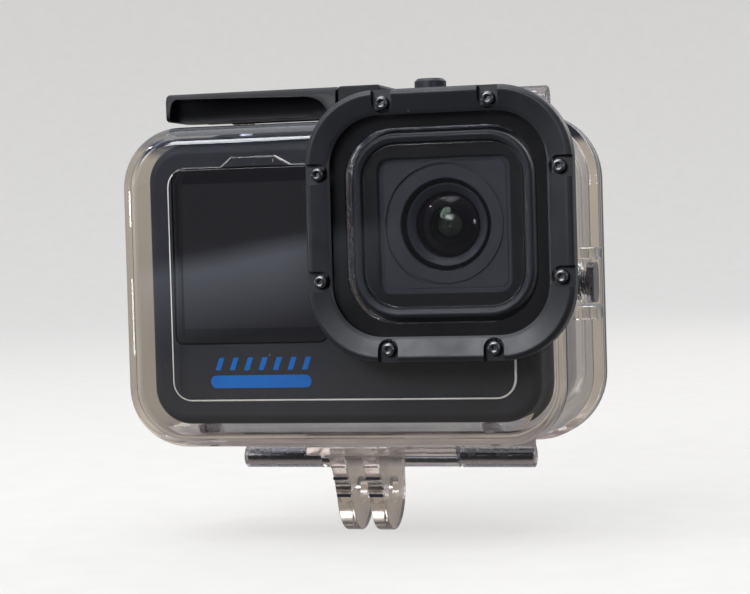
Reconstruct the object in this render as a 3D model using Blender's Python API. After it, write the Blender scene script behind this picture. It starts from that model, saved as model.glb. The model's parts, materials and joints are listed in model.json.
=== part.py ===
"""Action camera held in a clear protective housing.

Frame: metres, +X to the viewer's right, +Y away from the viewer, +Z up.
The origin is the middle of the mounting fingers' bore axis.
"""
import math

import bmesh
import bpy

MM = 0.001
GAP = 0.3 * MM

# Housing shell
SHELL_HALF_WIDTH = 40.6 * MM
SHELL_BOTTOM = 9.7 * MM
SHELL_TOP = 67.8 * MM
SHELL_RADIUS = 11.0 * MM
SHELL_WALL = 2.0 * MM
SHELL_FRONT = -20.2 * MM
SHELL_FRONT_INNER = -18.0 * MM
SHELL_RIM = 13.7 * MM
FLANGE_FRONT = 10.5 * MM
FLANGE_REACH = 1.6 * MM
WINDOW_STEP = 0.4 * MM

# Lens port, shared by the camera's lens
LENS_X = 20.2 * MM
LENS_Z = 48.7 * MM
PORT_HALF = 23.2 * MM
PORT_RADIUS = 12.5 * MM
PORT_FRONT = -22.0 * MM
TUNNEL_HALF = 17.0 * MM
TUNNEL_RADIUS = 8.6 * MM
GASKET_THICKNESS = 0.6 * MM
GLASS_THICKNESS = 1.2 * MM
BEZEL_HALF = 23.6 * MM
BEZEL_RADIUS = 12.9 * MM
BEZEL_FRONT = -26.0 * MM
BEZEL_OPENING_HALF = 19.2 * MM
BEZEL_OPENING_RADIUS = 9.0 * MM
SCREW_ALONG = 9.35 * MM
SCREW_OUT = 21.3 * MM
SCREW_HEAD_RADIUS = 1.2 * MM
SCREW_SHAFT_RADIUS = 0.65 * MM

# Back door and its hinge
DOOR_FRONT = SHELL_RIM + GAP
DOOR_BACK = DOOR_FRONT + 2.4 * MM
DOOR_RAISED = 1.0 * MM
DOOR_AXIS_Y = 15.2 * MM
DOOR_AXIS_Z = 4.6 * MM
KNUCKLE_RADIUS = 2.2 * MM
DOOR_KNUCKLES = ((-29.5 * MM, -13.6 * MM), (14.0 * MM, 28.2 * MM))
SHELL_KNUCKLE = (-13.3 * MM, 13.7 * MM)
PIN_RADIUS = 0.85 * MM
PIN_HOLE_RADIUS = 1.1 * MM

# Latch
LATCH_AXIS_Y = 16.2 * MM
LATCH_AXIS_Z = 72.5 * MM
LATCH_BARREL_RADIUS = 1.9 * MM
LATCH_LEFT = -34.8 * MM
LATCH_SPLIT = -1.8 * MM
LATCH_RIGHT = 25.6 * MM
LATCH_TOP = 74.4 * MM
LATCH_FRONT = -10.0 * MM
LATCH_LIP = 69.3 * MM
LATCH_BAR_FRONT = 3.5 * MM
LOCK_RIGHT = 6.5 * MM
LOCK_TRAVEL = 2.0 * MM
LUGS = ((-30.0 * MM, -27.0 * MM), (25.9 * MM, 32.3 * MM))

# Push buttons
SHUTTER_X = 14.0 * MM
BUTTON_Y = -2.5 * MM
MODE_Z = 37.7 * MM
STEM_RADIUS = 1.3 * MM
GUARD_END = 44.1 * MM
SIDE_CAP = (42.3 * MM, 43.6 * MM)

# Mounting fingers
FINGER_RADIUS = 7.5 * MM
FINGER_BORE_RADIUS = 2.5 * MM
FINGER_INNER = 1.55 * MM
FINGER_OUTER = 4.6 * MM

# Camera
CAM_HALF_WIDTH = 35.9 * MM
CAM_BOTTOM = 13.8 * MM
CAM_TOP = 64.6 * MM
CAM_RADIUS = 6.75 * MM
CAM_WALL = 1.6 * MM
CAM_FRONT = -17.0 * MM
CAM_SPLIT = 3.0 * MM
CAM_BACK = 10.6 * MM
COVER_HALF = 16.1 * MM
COVER_RADIUS = 8.0 * MM
COVER_FRONT = -22.0 * MM
LENS_SEAT = -16.5 * MM
LENS_EDGE = 5.4 * MM
LENS_CURVE = 10.5 * MM
BOARD_FRONT = 2.0 * MM
BOARD_THICKNESS = 1.1 * MM
SCREEN_BOX = (-31.2 * MM, -2.3 * MM, 28.3 * MM, 60.3 * MM)
REAR_SCREEN_BOX = (-31.0 * MM, 24.0 * MM, 20.5 * MM, 58.0 * MM)

CORNER_STEPS = 6
ROUND_STEPS = 24


def clear_scene():
    for thing in list(bpy.data.objects):
        bpy.data.objects.remove(thing, do_unlink=True)


def make_material(name, colour, roughness, metallic=0.0, transmission=0.0):
    material = bpy.data.materials.new(name)
    material.use_nodes = True
    shader = material.node_tree.nodes["Principled BSDF"]
    shader.inputs["Base Color"].default_value = (*colour, 1.0)
    shader.inputs["Roughness"].default_value = roughness
    shader.inputs["Metallic"].default_value = metallic
    shader.inputs["Transmission Weight"].default_value = transmission
    return material


# ---- outlines, as lists of (u, v) ----

def rounded_box(u0, u1, v0, v1, radius, steps=CORNER_STEPS):
    corners = ((u1 - radius, v1 - radius, 0), (u0 + radius, v1 - radius, 90),
               (u0 + radius, v0 + radius, 180), (u1 - radius, v0 + radius, 270))
    outline = []
    for cu, cv, start in corners:
        for step in range(steps + 1):
            angle = math.radians(start + 90 * step / steps)
            outline.append((cu + radius * math.cos(angle), cv + radius * math.sin(angle)))
    return outline


def circle(cu, cv, radius, steps=ROUND_STEPS):
    angles = [2 * math.pi * step / steps for step in range(steps)]
    return [(cu + radius * math.cos(a), cv + radius * math.sin(a)) for a in angles]


def hexagon(cu, cv, apothem, steps=12):
    outline = []
    for step in range(steps):
        angle = 2 * math.pi * step / steps
        radius = apothem / math.cos((angle % (math.pi / 3)) - math.pi / 6)
        outline.append((cu + radius * math.cos(angle), cv + radius * math.sin(angle)))
    return outline


def arc(cu, cv, radius, start, end, steps=8):
    angles = [math.radians(start + (end - start) * step / steps) for step in range(steps + 1)]
    return [(cu + radius * math.cos(a), cv + radius * math.sin(a)) for a in angles]


def shell_outline(inset):
    radius = SHELL_RADIUS - inset
    return rounded_box(-SHELL_HALF_WIDTH + inset, SHELL_HALF_WIDTH - inset,
                       SHELL_BOTTOM + inset, SHELL_TOP - inset, radius)


def flange_outline(inset=0.0):
    half = SHELL_HALF_WIDTH + FLANGE_REACH - inset
    return rounded_box(-half, half, SHELL_BOTTOM - FLANGE_REACH + inset,
                       SHELL_TOP + FLANGE_REACH - inset, SHELL_RADIUS + FLANGE_REACH - inset)


def camera_outline(inset):
    return rounded_box(-CAM_HALF_WIDTH + inset, CAM_HALF_WIDTH - inset,
                       CAM_BOTTOM + inset, CAM_TOP - inset, CAM_RADIUS - inset)


def port_outline(half, radius):
    return rounded_box(LENS_X - half, LENS_X + half, LENS_Z - half, LENS_Z + half, radius)


# ---- solids ----

def to_space(axis, position, outline):
    if axis == "X":
        return [(position, u, v) for u, v in outline]
    if axis == "Y":
        return [(u, position, v) for u, v in outline]
    return [(u, v, position) for u, v in outline]


def loft_points(name, rings, material, closed=False):
    """Skin rings of equal length; a closed loft joins its last ring to its first."""
    bm = bmesh.new()
    made = [[bm.verts.new(point) for point in ring] for ring in rings]
    count = len(made[0])
    pairs = list(zip(made, made[1:]))
    if closed:
        pairs.append((made[-1], made[0]))
    else:
        bm.faces.new(made[0])
        bm.faces.new(made[-1])
    for low, high in pairs:
        for i in range(count):
            j = (i + 1) % count
            bm.faces.new((low[i], low[j], high[j], high[i]))
    bmesh.ops.recalc_face_normals(bm, faces=bm.faces)
    if bm.calc_volume(signed=True) < 0:
        bmesh.ops.reverse_faces(bm, faces=bm.faces)
    mesh = bpy.data.meshes.new(name)
    bm.to_mesh(mesh)
    bm.free()
    mesh.shade_smooth()
    mesh.set_sharp_from_angle(angle=math.radians(30))
    mesh.materials.append(material)
    solid = bpy.data.objects.new(name, mesh)
    bpy.context.scene.collection.objects.link(solid)
    return solid


def loft(name, axis, sections, material=None, closed=False):
    """Sections are (position along axis, outline)."""
    rings = [to_space(axis, position, outline) for position, outline in sections]
    return loft_points(name, rings, material or MATERIALS["clear"], closed)


def prism(name, axis, low, high, outline, material=None):
    return loft(name, axis, ((low, outline), (high, outline)), material)


def block(name, low, high, material=None, radius=0.0):
    if radius:
        outline = rounded_box(low[0], high[0], low[2], high[2], radius)
    else:
        outline = ((low[0], low[2]), (high[0], low[2]), (high[0], high[2]), (low[0], high[2]))
    return prism(name, "Y", low[1], high[1], outline, material)


def turned(name, axis, cu, cv, profile, material=None, closed=False, steps=ROUND_STEPS):
    """Profile is (position along axis, radius)."""
    sections = [(position, circle(cu, cv, radius, steps)) for position, radius in profile]
    return loft(name, axis, sections, material, closed)


def combine(target, tool, operation):
    modifier = target.modifiers.new(operation.lower(), "BOOLEAN")
    modifier.operation = operation
    modifier.solver = "EXACT"
    modifier.object = tool
    graph = bpy.context.evaluated_depsgraph_get()
    graph.update()
    result = bpy.data.meshes.new_from_object(target.evaluated_get(graph))
    target.modifiers.remove(modifier)
    target.data = result
    result.shade_smooth()
    result.set_sharp_from_angle(angle=math.radians(30))
    bpy.data.objects.remove(tool, do_unlink=True)
    return target


def join(target, *tools):
    for tool in tools:
        combine(target, tool, "UNION")
    return target


def cut(target, *tools):
    for tool in tools:
        combine(target, tool, "DIFFERENCE")
    return target


def coil(name, axis, cu, cv, low, high, radius, wire, turns, material):
    """A helical spring with a six-sided wire."""
    steps = 12 * turns
    rings = []
    for step in range(steps + 1):
        angle = 2 * math.pi * turns * step / steps
        middle = low + wire + (high - low - 2 * wire) * step / steps
        ring = []
        for side in range(6):
            around = 2 * math.pi * side / 6
            reach = radius + wire * math.cos(around)
            along = middle + wire * math.sin(around)
            point = (cu + reach * math.cos(angle), cv + reach * math.sin(angle))
            ring.append(to_space(axis, along, [point])[0])
        rings.append(ring)
    return loft_points(name, rings, material)


def o_ring(name, axis, cu, cv, middle, radius, wire, material):
    profile = []
    for side in range(8):
        around = 2 * math.pi * side / 8
        profile.append((middle + wire * math.sin(around), radius + wire * math.cos(around)))
    return turned(name, axis, cu, cv, profile, material, closed=True, steps=18)


# ---- housing ----

def screw_places():
    """Screw centres (x, z) and the outward direction of each pocket."""
    places = []
    for along in (-SCREW_ALONG, SCREW_ALONG):
        places.append((LENS_X + along, LENS_Z + SCREW_OUT, 0, 1))
        places.append((LENS_X + SCREW_OUT, LENS_Z + along, 1, 0))
        places.append((LENS_X + along, LENS_Z - SCREW_OUT, 0, -1))
        places.append((LENS_X - SCREW_OUT, LENS_Z + along, -1, 0))
    return places


def window_step_outline():
    left, right = -31.0 * MM, 32.3 * MM
    bottom, top = 18.2 * MM, 60.4 * MM
    bump_height = 1.6 * MM
    bump = ((-7.6 * MM, top), (-10.5 * MM, top + bump_height),
            (-18.6 * MM, top + bump_height), (-20.6 * MM, top))
    corner = 3.6 * MM
    outline = arc(right - corner, top - corner, corner, 0, 90, 4)
    outline.extend(bump)
    outline.extend(arc(left + corner, top - corner, corner, 90, 180, 4))
    outline.extend(arc(left + corner, bottom + corner, corner, 180, 270, 4))
    outline.extend(arc(right - corner, bottom + corner, corner, 270, 360, 4))
    return outline


def build_shell():
    shell = loft("front_shell", "Y", (
        (SHELL_FRONT_INNER, shell_outline(3.0 * MM)),
        (SHELL_FRONT_INNER + 1.0 * MM, shell_outline(SHELL_WALL)),
        (SHELL_RIM, shell_outline(SHELL_WALL)),
        (SHELL_RIM, flange_outline()),
        (FLANGE_FRONT, flange_outline()),
        (FLANGE_FRONT - 0.4 * MM, shell_outline(0.0)),
        (SHELL_FRONT + 3.5 * MM, shell_outline(0.0)),
        (SHELL_FRONT + 1.1 * MM, shell_outline(0.6 * MM)),
        (SHELL_FRONT + 0.2 * MM, shell_outline(2.0 * MM)),
        (SHELL_FRONT, shell_outline(3.5 * MM)),
    ))
    window = prism("window", "Y", SHELL_FRONT - WINDOW_STEP, SHELL_FRONT + 1.0 * MM,
                   window_step_outline())
    port = loft("port", "Y", (
        (PORT_FRONT, port_outline(PORT_HALF, PORT_RADIUS)),
        (PORT_FRONT + 1.5 * MM, port_outline(PORT_HALF, PORT_RADIUS)),
        (SHELL_FRONT_INNER - 0.1 * MM, port_outline(20.5 * MM, 9.8 * MM)),
    ))
    shutter_boss = turned("boss", "Z", SHUTTER_X, BUTTON_Y,
                          ((66.2 * MM, 3.6 * MM), (69.2 * MM, 3.6 * MM)))
    mode_boss = turned("boss", "X", BUTTON_Y, MODE_Z,
                       ((39.2 * MM, 3.6 * MM), (41.2 * MM, 3.6 * MM)))
    guards = []
    for low, high in ((4.1 * MM, 6.3 * MM), (-6.6 * MM, -4.1 * MM)):
        guards.append(block("guard", (39.4 * MM, BUTTON_Y - 4.5 * MM, MODE_Z + low),
                            (GUARD_END, BUTTON_Y + 4.5 * MM, MODE_Z + high)))
    web_outline = ((10.7 * MM, 9.0 * MM), (13.5 * MM, 9.0 * MM), (13.5 * MM, 6.4 * MM),
                   (DOOR_AXIS_Y, 6.4 * MM), (DOOR_AXIS_Y, 2.9 * MM), (13.0 * MM, 2.9 * MM),
                   (10.7 * MM, 6.0 * MM))
    web = prism("web", "X", *SHELL_KNUCKLE, web_outline)
    knuckle = turned("knuckle", "X", DOOR_AXIS_Y, DOOR_AXIS_Z,
                     [(x, KNUCKLE_RADIUS) for x in SHELL_KNUCKLE])
    join(shell, window, port, shutter_boss, mode_boss, *guards, web, knuckle)
    tunnel = prism("tunnel", "Y", PORT_FRONT - 1.0 * MM, SHELL_FRONT_INNER + 0.8 * MM,
                   port_outline(TUNNEL_HALF, TUNNEL_RADIUS))
    cutters = [tunnel]
    for x, z, _, _ in screw_places():
        cutters.append(turned("hole", "Y", x, z, ((PORT_FRONT - 1.0 * MM, 0.95 * MM),
                                                  (-20.2 * MM, 0.95 * MM)), steps=12))
    cutters.append(button_cavity("Z", SHUTTER_X, BUTTON_Y, 66.9 * MM, 64.9 * MM, 67.6 * MM, 70.0 * MM))
    cutters.append(button_cavity("X", BUTTON_Y, MODE_Z, 39.7 * MM, 37.8 * MM, 40.2 * MM, 42.0 * MM))
    cutters.append(pin_hole(SHELL_KNUCKLE, DOOR_AXIS_Y, DOOR_AXIS_Z))
    return cut(shell, *cutters)


def button_cavity(axis, cu, cv, ceiling, inside, seat, outside):
    """Clip pocket, stem hole and O-ring counterbore, one turned cutter."""
    profile = ((inside, 3.2 * MM), (ceiling, 3.2 * MM), (ceiling, STEM_RADIUS + GAP),
               (seat, STEM_RADIUS + GAP), (seat, 2.6 * MM), (outside, 2.6 * MM))
    return turned("cavity", axis, cu, cv, profile)


def pin_hole(span, y, z):
    low, high = span
    profile = ((low - 1.0 * MM, PIN_HOLE_RADIUS), (high + 1.0 * MM, PIN_HOLE_RADIUS))
    return turned("pin_hole", "X", y, z, profile, steps=16)


def build_port():
    gasket_back = PORT_FRONT - GAP
    gasket_front = gasket_back - GASKET_THICKNESS
    glass_back = gasket_front - GAP
    glass_front = glass_back - GLASS_THICKNESS
    outer = port_outline(19.9 * MM, 9.6 * MM)
    inner = port_outline(TUNNEL_HALF, TUNNEL_RADIUS)
    loft("port_gasket", "Y", ((gasket_back, outer), (gasket_front, outer),
                              (gasket_front, inner), (gasket_back, inner)),
         MATERIALS["seal"], closed=True)
    prism("port_glass", "Y", glass_front, glass_back, outer, MATERIALS["glass"])
    lip = glass_front - GAP
    skirt = port_outline(20.2 * MM, 9.9 * MM)
    bezel = loft("port_bezel", "Y", (
        (gasket_back, port_outline(BEZEL_HALF, BEZEL_RADIUS)),
        (BEZEL_FRONT + 0.9 * MM, port_outline(BEZEL_HALF, BEZEL_RADIUS)),
        (BEZEL_FRONT + 0.3 * MM, port_outline(BEZEL_HALF - 0.3 * MM, BEZEL_RADIUS - 0.3 * MM)),
        (BEZEL_FRONT, port_outline(BEZEL_HALF - 1.0 * MM, BEZEL_RADIUS - 1.0 * MM)),
        (BEZEL_FRONT, port_outline(BEZEL_OPENING_HALF + 0.7 * MM, BEZEL_OPENING_RADIUS + 0.7 * MM)),
        (BEZEL_FRONT + 0.6 * MM, port_outline(BEZEL_OPENING_HALF, BEZEL_OPENING_RADIUS)),
        (lip, port_outline(BEZEL_OPENING_HALF, BEZEL_OPENING_RADIUS)),
        (lip, skirt),
        (gasket_back, skirt),
    ), MATERIALS["satin_black"], closed=True)
    for x, z, out_x, out_z in screw_places():
        cut(bezel, *screw_pocket(x, z, out_x, out_z))
    for index, (x, z, _, _) in enumerate(screw_places(), start=1):
        build_screw(f"bezel_screw_{index}", x, z)


def screw_pocket(x, z, out_x, out_z):
    """A round pocket open to the rim, and the shaft hole under it."""
    radius = 1.8 * MM
    front, floor = BEZEL_FRONT - 1.0 * MM, BEZEL_FRONT + 1.3 * MM
    reach = 4.0 * MM
    low_x = x - radius * abs(out_z) + min(0.0, out_x * reach)
    high_x = x + radius * abs(out_z) + max(0.0, out_x * reach)
    low_z = z - radius * abs(out_x) + min(0.0, out_z * reach)
    high_z = z + radius * abs(out_x) + max(0.0, out_z * reach)
    seat = turned("seat", "Y", x, z, ((front, radius), (floor, radius)), steps=16)
    slot = block("slot", (low_x, front, low_z), (high_x, floor, high_z))
    hole = turned("hole", "Y", x, z, ((floor - 0.5 * MM, 0.95 * MM), (PORT_FRONT + 0.5 * MM, 0.95 * MM)),
                  steps=12)
    return join(seat, slot), hole


def build_screw(name, x, z):
    head_front, head_back = BEZEL_FRONT + 0.1 * MM, BEZEL_FRONT + 1.0 * MM
    loft(name, "Y", (
        (head_front + 0.6 * MM, hexagon(x, z, 0.5 * MM)),
        (head_front, hexagon(x, z, 0.5 * MM)),
        (head_front, circle(x, z, SCREW_HEAD_RADIUS - 0.2 * MM, 12)),
        (head_front + 0.2 * MM, circle(x, z, SCREW_HEAD_RADIUS, 12)),
        (head_back, circle(x, z, SCREW_HEAD_RADIUS, 12)),
        (head_back, circle(x, z, SCREW_SHAFT_RADIUS, 12)),
        (-20.5 * MM, circle(x, z, SCREW_SHAFT_RADIUS, 12)),
    ), MATERIALS["steel"])


def build_fingers():
    """Two clear fingers under one base; the profile flares forward at the top."""
    top = SHELL_BOTTOM - GAP
    base = block("finger_mount", (-8.0 * MM, -15.0 * MM, 7.8 * MM), (8.0 * MM, 8.6 * MM, top))
    profile = [(-14.5 * MM, top - 0.5 * MM)]
    profile.extend(arc(0.0, 0.0, FINGER_RADIUS, 195, 360, 12))
    profile.append((FINGER_RADIUS, top - 0.5 * MM))
    for low, high in ((-FINGER_OUTER, -FINGER_INNER), (FINGER_INNER, FINGER_OUTER)):
        join(base, prism("finger", "X", low, high, profile))
    bore = turned("bore", "X", 0.0, 0.0, ((-6.0 * MM, FINGER_BORE_RADIUS),
                                          (6.0 * MM, FINGER_BORE_RADIUS)))
    return cut(base, bore)


# ---- door and latch ----

def lug_outline():
    radius = KNUCKLE_RADIUS
    outline = [(LATCH_AXIS_Y - radius + 0.1 * MM, 66.0 * MM), (LATCH_AXIS_Y - 0.3 * MM, 66.0 * MM),
               (LATCH_AXIS_Y + radius, 69.0 * MM)]
    outline.extend(arc(LATCH_AXIS_Y, LATCH_AXIS_Z, radius, 0, 180))
    return outline


def build_door():
    door = loft("back_door", "Y", (
        (DOOR_FRONT + 0.3 * MM, shell_outline(5.7 * MM)),
        (DOOR_FRONT - 2.4 * MM, shell_outline(5.4 * MM)),
        (DOOR_FRONT - 2.4 * MM, shell_outline(3.7 * MM)),
        (DOOR_FRONT, shell_outline(3.7 * MM)),
        (DOOR_FRONT, flange_outline()),
        (DOOR_BACK - 0.5 * MM, flange_outline()),
        (DOOR_BACK, flange_outline(0.5 * MM)),
        (DOOR_BACK, shell_outline(4.0 * MM)),
        (DOOR_BACK + DOOR_RAISED, shell_outline(5.5 * MM)),
    ))
    for span in DOOR_KNUCKLES:
        web = block("web", (span[0], DOOR_FRONT + 0.05 * MM, DOOR_AXIS_Z),
                    (span[1], DOOR_BACK - 0.1 * MM, 9.6 * MM))
        knuckle = turned("knuckle", "X", DOOR_AXIS_Y, DOOR_AXIS_Z,
                         [(x, KNUCKLE_RADIUS) for x in span])
        join(door, web, knuckle)
        cut(door, pin_hole(span, DOOR_AXIS_Y, DOOR_AXIS_Z))
    for span in LUGS:
        join(door, prism("lug", "X", *span, lug_outline()))
    cut(door, pin_hole((LUGS[0][0], LUGS[1][0] + 3.3 * MM), LATCH_AXIS_Y, LATCH_AXIS_Z))
    seal_outer, seal_inner = shell_outline(2.3 * MM), shell_outline(3.4 * MM)
    loft("door_seal", "Y", ((12.0 * MM, seal_inner), (12.0 * MM, seal_outer),
                            (13.6 * MM, seal_outer), (13.6 * MM, seal_inner)),
         MATERIALS["seal"], closed=True)


def build_pin(name, low, high, y, z):
    chamfer = 0.2 * MM
    turned(name, "X", y, z, ((low, PIN_RADIUS - chamfer), (low + chamfer, PIN_RADIUS),
                             (high - chamfer, PIN_RADIUS), (high, PIN_RADIUS - chamfer)),
           MATERIALS["steel"], steps=16)


def build_latch():
    """A lever over the shell's top; its underside follows the door's swing over the flange."""
    grip_outline = ((13.6 * MM, LATCH_TOP), (LATCH_FRONT + 1.0 * MM, LATCH_TOP),
                    (LATCH_FRONT, LATCH_TOP - 0.8 * MM), (LATCH_FRONT, LATCH_LIP + 0.6 * MM),
                    (LATCH_FRONT + 1.0 * MM, LATCH_LIP), (0.5 * MM, LATCH_LIP),
                    (5.0 * MM, LATCH_LIP + 0.2 * MM), (10.0 * MM, 69.9 * MM), (13.6 * MM, 69.9 * MM))
    lever = prism("latch_lever", "X", LATCH_LEFT, LATCH_SPLIT, grip_outline,
                  MATERIALS["satin_black"])
    bar_outline = ((LATCH_AXIS_Y, LATCH_TOP - 0.15 * MM), (LATCH_BAR_FRONT, LATCH_TOP - 0.15 * MM),
                   (LATCH_BAR_FRONT, 69.1 * MM), (5.0 * MM, 69.4 * MM),
                   (10.0 * MM, 70.0 * MM), (14.0 * MM, 70.0 * MM), (LATCH_AXIS_Y, 70.8 * MM))
    bar = prism("bar", "X", LUGS[0][1] + GAP, LATCH_RIGHT, bar_outline)
    barrel = turned("barrel", "X", LATCH_AXIS_Y, LATCH_AXIS_Z,
                    [(x, LATCH_BARREL_RADIUS) for x in (LUGS[0][1] + GAP, LATCH_RIGHT)])
    join(lever, bar, barrel)
    cut(lever, build_latch_recess())
    slot = block("slot", (LATCH_SPLIT, 3.0 * MM, 71.2 * MM),
                 (LOCK_RIGHT + LOCK_TRAVEL + 0.6 * MM, 6.3 * MM, 73.0 * MM))
    cut(lever, slot, pin_hole((LUGS[0][1], LATCH_RIGHT), LATCH_AXIS_Y, LATCH_AXIS_Z))
    lock = block("latch_lock", (LATCH_SPLIT + GAP, LATCH_FRONT, 69.3 * MM),
                 (LOCK_RIGHT, LATCH_BAR_FRONT - GAP, LATCH_TOP), MATERIALS["satin_black"], 0.6 * MM)
    tongue = block("tongue", (LATCH_SPLIT + GAP, 2.0 * MM, 71.5 * MM),
                   (LOCK_RIGHT - 0.2 * MM, 6.0 * MM, 72.7 * MM))
    join(lock, tongue)


def build_latch_recess():
    """Finger scoop in the grip's face, open below, with a rounded end on each side."""
    start, end = LATCH_LEFT + 2.1 * MM, LATCH_SPLIT - 6.4 * MM
    start_radius, end_radius = 3.9 * MM, 3.3 * MM
    left_round, right_round = 1.4 * MM, 4.6 * MM
    steps = 4
    angles = [math.radians(80 * step / steps) for step in range(1, steps + 1)]
    profile = [(start - left_round * math.sin(a), start_radius * math.cos(a)) for a in reversed(angles)]
    profile += [(start, start_radius), (end, end_radius)]
    profile += [(end + right_round * math.sin(a), end_radius * math.cos(a)) for a in angles]
    return turned("recess", "X", LATCH_FRONT - 0.6 * MM, LATCH_LIP + 0.3 * MM, profile)


# ---- push buttons ----

def build_shutter_button():
    turned("shutter_plunger", "Z", SHUTTER_X, BUTTON_Y, (
        (65.4 * MM, STEM_RADIUS), (72.4 * MM, STEM_RADIUS), (72.4 * MM, 2.9 * MM),
        (75.0 * MM, 2.9 * MM), (75.5 * MM, 2.4 * MM)), MATERIALS["dark_grey"])
    coil("shutter_spring", "Z", SHUTTER_X, BUTTON_Y, 69.0 * MM, 72.1 * MM, 2.1 * MM, 0.25 * MM, 4,
         MATERIALS["steel"])
    o_ring("shutter_oring", "Z", SHUTTER_X, BUTTON_Y, 68.3 * MM, 1.95 * MM, 0.35 * MM,
           MATERIALS["seal"])
    build_clip("shutter_clip", "Z", SHUTTER_X, BUTTON_Y, 66.1 * MM)


def build_side_button():
    cap_low, cap_high = SIDE_CAP
    stem = turned("side_plunger", "X", BUTTON_Y, MODE_Z, ((36.7 * MM, STEM_RADIUS),
                                                          (cap_low + GAP, STEM_RADIUS)),
                  MATERIALS["dark_grey"])
    cap_outline = rounded_box(BUTTON_Y - 3.0 * MM, BUTTON_Y + 3.0 * MM,
                              MODE_Z - 3.6 * MM, MODE_Z + 3.6 * MM, 2.0 * MM, 4)
    join(stem, prism("cap", "X", cap_low, cap_high, cap_outline))
    coil("side_spring", "X", BUTTON_Y, MODE_Z, 40.95 * MM, cap_low - 0.15 * MM, 2.1 * MM,
         0.18 * MM, 2, MATERIALS["steel"])
    o_ring("side_oring", "X", BUTTON_Y, MODE_Z, 40.6 * MM, 1.92 * MM, 0.3 * MM, MATERIALS["seal"])
    build_clip("side_clip", "X", BUTTON_Y, MODE_Z, 38.9 * MM)


def build_clip(name, axis, cu, cv, low):
    high = low + 0.5 * MM
    inner, outer = STEM_RADIUS + 0.2 * MM, 2.6 * MM
    turned(name, axis, cu, cv, ((low, outer), (high, outer), (high, inner), (low, inner)),
           MATERIALS["steel"], closed=True, steps=16)


# ---- camera ----

def build_camera_cases():
    front = loft("camera_front_case", "Y", (
        (CAM_FRONT + CAM_WALL, camera_outline(2.4 * MM)),
        (CAM_FRONT + CAM_WALL + 0.6 * MM, camera_outline(CAM_WALL)),
        (CAM_SPLIT, camera_outline(CAM_WALL)),
        (CAM_SPLIT, camera_outline(0.0)),
        (CAM_FRONT + 1.6 * MM, camera_outline(0.0)),
        (CAM_FRONT + 0.5 * MM, camera_outline(0.4 * MM)),
        (CAM_FRONT, camera_outline(1.6 * MM)),
    ), MATERIALS["charcoal"])
    tray = block("tray", (-16.5 * MM, -15.8 * MM, 15.0 * MM), (16.5 * MM, 2.8 * MM, 17.6 * MM))
    join(front, tray)
    left, right, low, high = SCREEN_BOX
    pocket = prism("pocket", "Y", CAM_FRONT - 1.0 * MM, CAM_FRONT + 1.1 * MM,
                   rounded_box(left, right, low, high, 1.5 * MM, 4))
    view = block("view", (left + 2.0 * MM, CAM_FRONT, low + 2.0 * MM),
                 (right - 2.0 * MM, CAM_FRONT + 3.0 * MM, high - 2.0 * MM))
    lens_hole = turned("hole", "Y", LENS_X, LENS_Z, ((CAM_FRONT - 1.0 * MM, 10.7 * MM),
                                                     (CAM_FRONT + 3.0 * MM, 10.7 * MM)))
    shutter_hole = turned("hole", "Z", SHUTTER_X, BUTTON_Y, ((62.0 * MM, 4.5 * MM),
                                                             (66.0 * MM, 4.5 * MM)))
    mode_hole = turned("hole", "X", BUTTON_Y, MODE_Z, ((33.0 * MM, 3.3 * MM),
                                                       (37.0 * MM, 3.3 * MM)))
    door_hole = prism("hole", "X", -37.0 * MM, -33.0 * MM,
                      rounded_box(-13.3 * MM, 1.3 * MM, 20.7 * MM, 57.3 * MM, 2.3 * MM, 4))
    base_recess = block("recess", (-14.8 * MM, -14.3 * MM, 13.0 * MM),
                        (14.8 * MM, 1.3 * MM, 16.3 * MM))
    cut(front, pocket, view, lens_hole, shutter_hole, mode_hole, door_hole, base_recess)
    rear = loft("camera_rear_case", "Y", (
        (CAM_BACK - CAM_WALL, camera_outline(2.4 * MM)),
        (CAM_BACK - CAM_WALL - 0.6 * MM, camera_outline(CAM_WALL)),
        (CAM_SPLIT + GAP, camera_outline(CAM_WALL)),
        (CAM_SPLIT + GAP, camera_outline(0.0)),
        (CAM_BACK - 1.6 * MM, camera_outline(0.0)),
        (CAM_BACK - 0.5 * MM, camera_outline(0.4 * MM)),
        (CAM_BACK, camera_outline(1.6 * MM)),
    ), MATERIALS["charcoal"])
    left, right, low, high = REAR_SCREEN_BOX
    pocket = prism("pocket", "Y", CAM_BACK - 1.1 * MM, CAM_BACK + 1.0 * MM,
                   rounded_box(left, right, low, high, 1.5 * MM, 4))
    view = block("view", (left + 2.0 * MM, CAM_BACK - 3.0 * MM, low + 2.0 * MM),
                 (right - 2.0 * MM, CAM_BACK, high - 2.0 * MM))
    cut(rear, pocket, view)


def build_screens():
    left, right, low, high = SCREEN_BOX
    outline = rounded_box(left + GAP, right - GAP, low + GAP, high - GAP, 1.2 * MM, 4)
    prism("camera_front_glass", "Y", CAM_FRONT - 0.05 * MM, CAM_FRONT + 0.8 * MM, outline,
          MATERIALS["dark_glass"])
    block("camera_front_display", (left + 2.4 * MM, -15.9 * MM, low + 2.4 * MM),
          (right - 2.4 * MM, -14.6 * MM, high - 2.4 * MM), MATERIALS["display"])
    left, right, low, high = REAR_SCREEN_BOX
    outline = rounded_box(left + GAP, right - GAP, low + GAP, high - GAP, 1.2 * MM, 4)
    prism("camera_rear_glass", "Y", CAM_BACK - 0.8 * MM, CAM_BACK + 0.05 * MM, outline,
          MATERIALS["dark_glass"])
    block("camera_rear_display", (left + 2.4 * MM, 7.9 * MM, low + 2.4 * MM),
          (right - 2.4 * MM, 9.4 * MM, high - 2.4 * MM), MATERIALS["display"])


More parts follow.
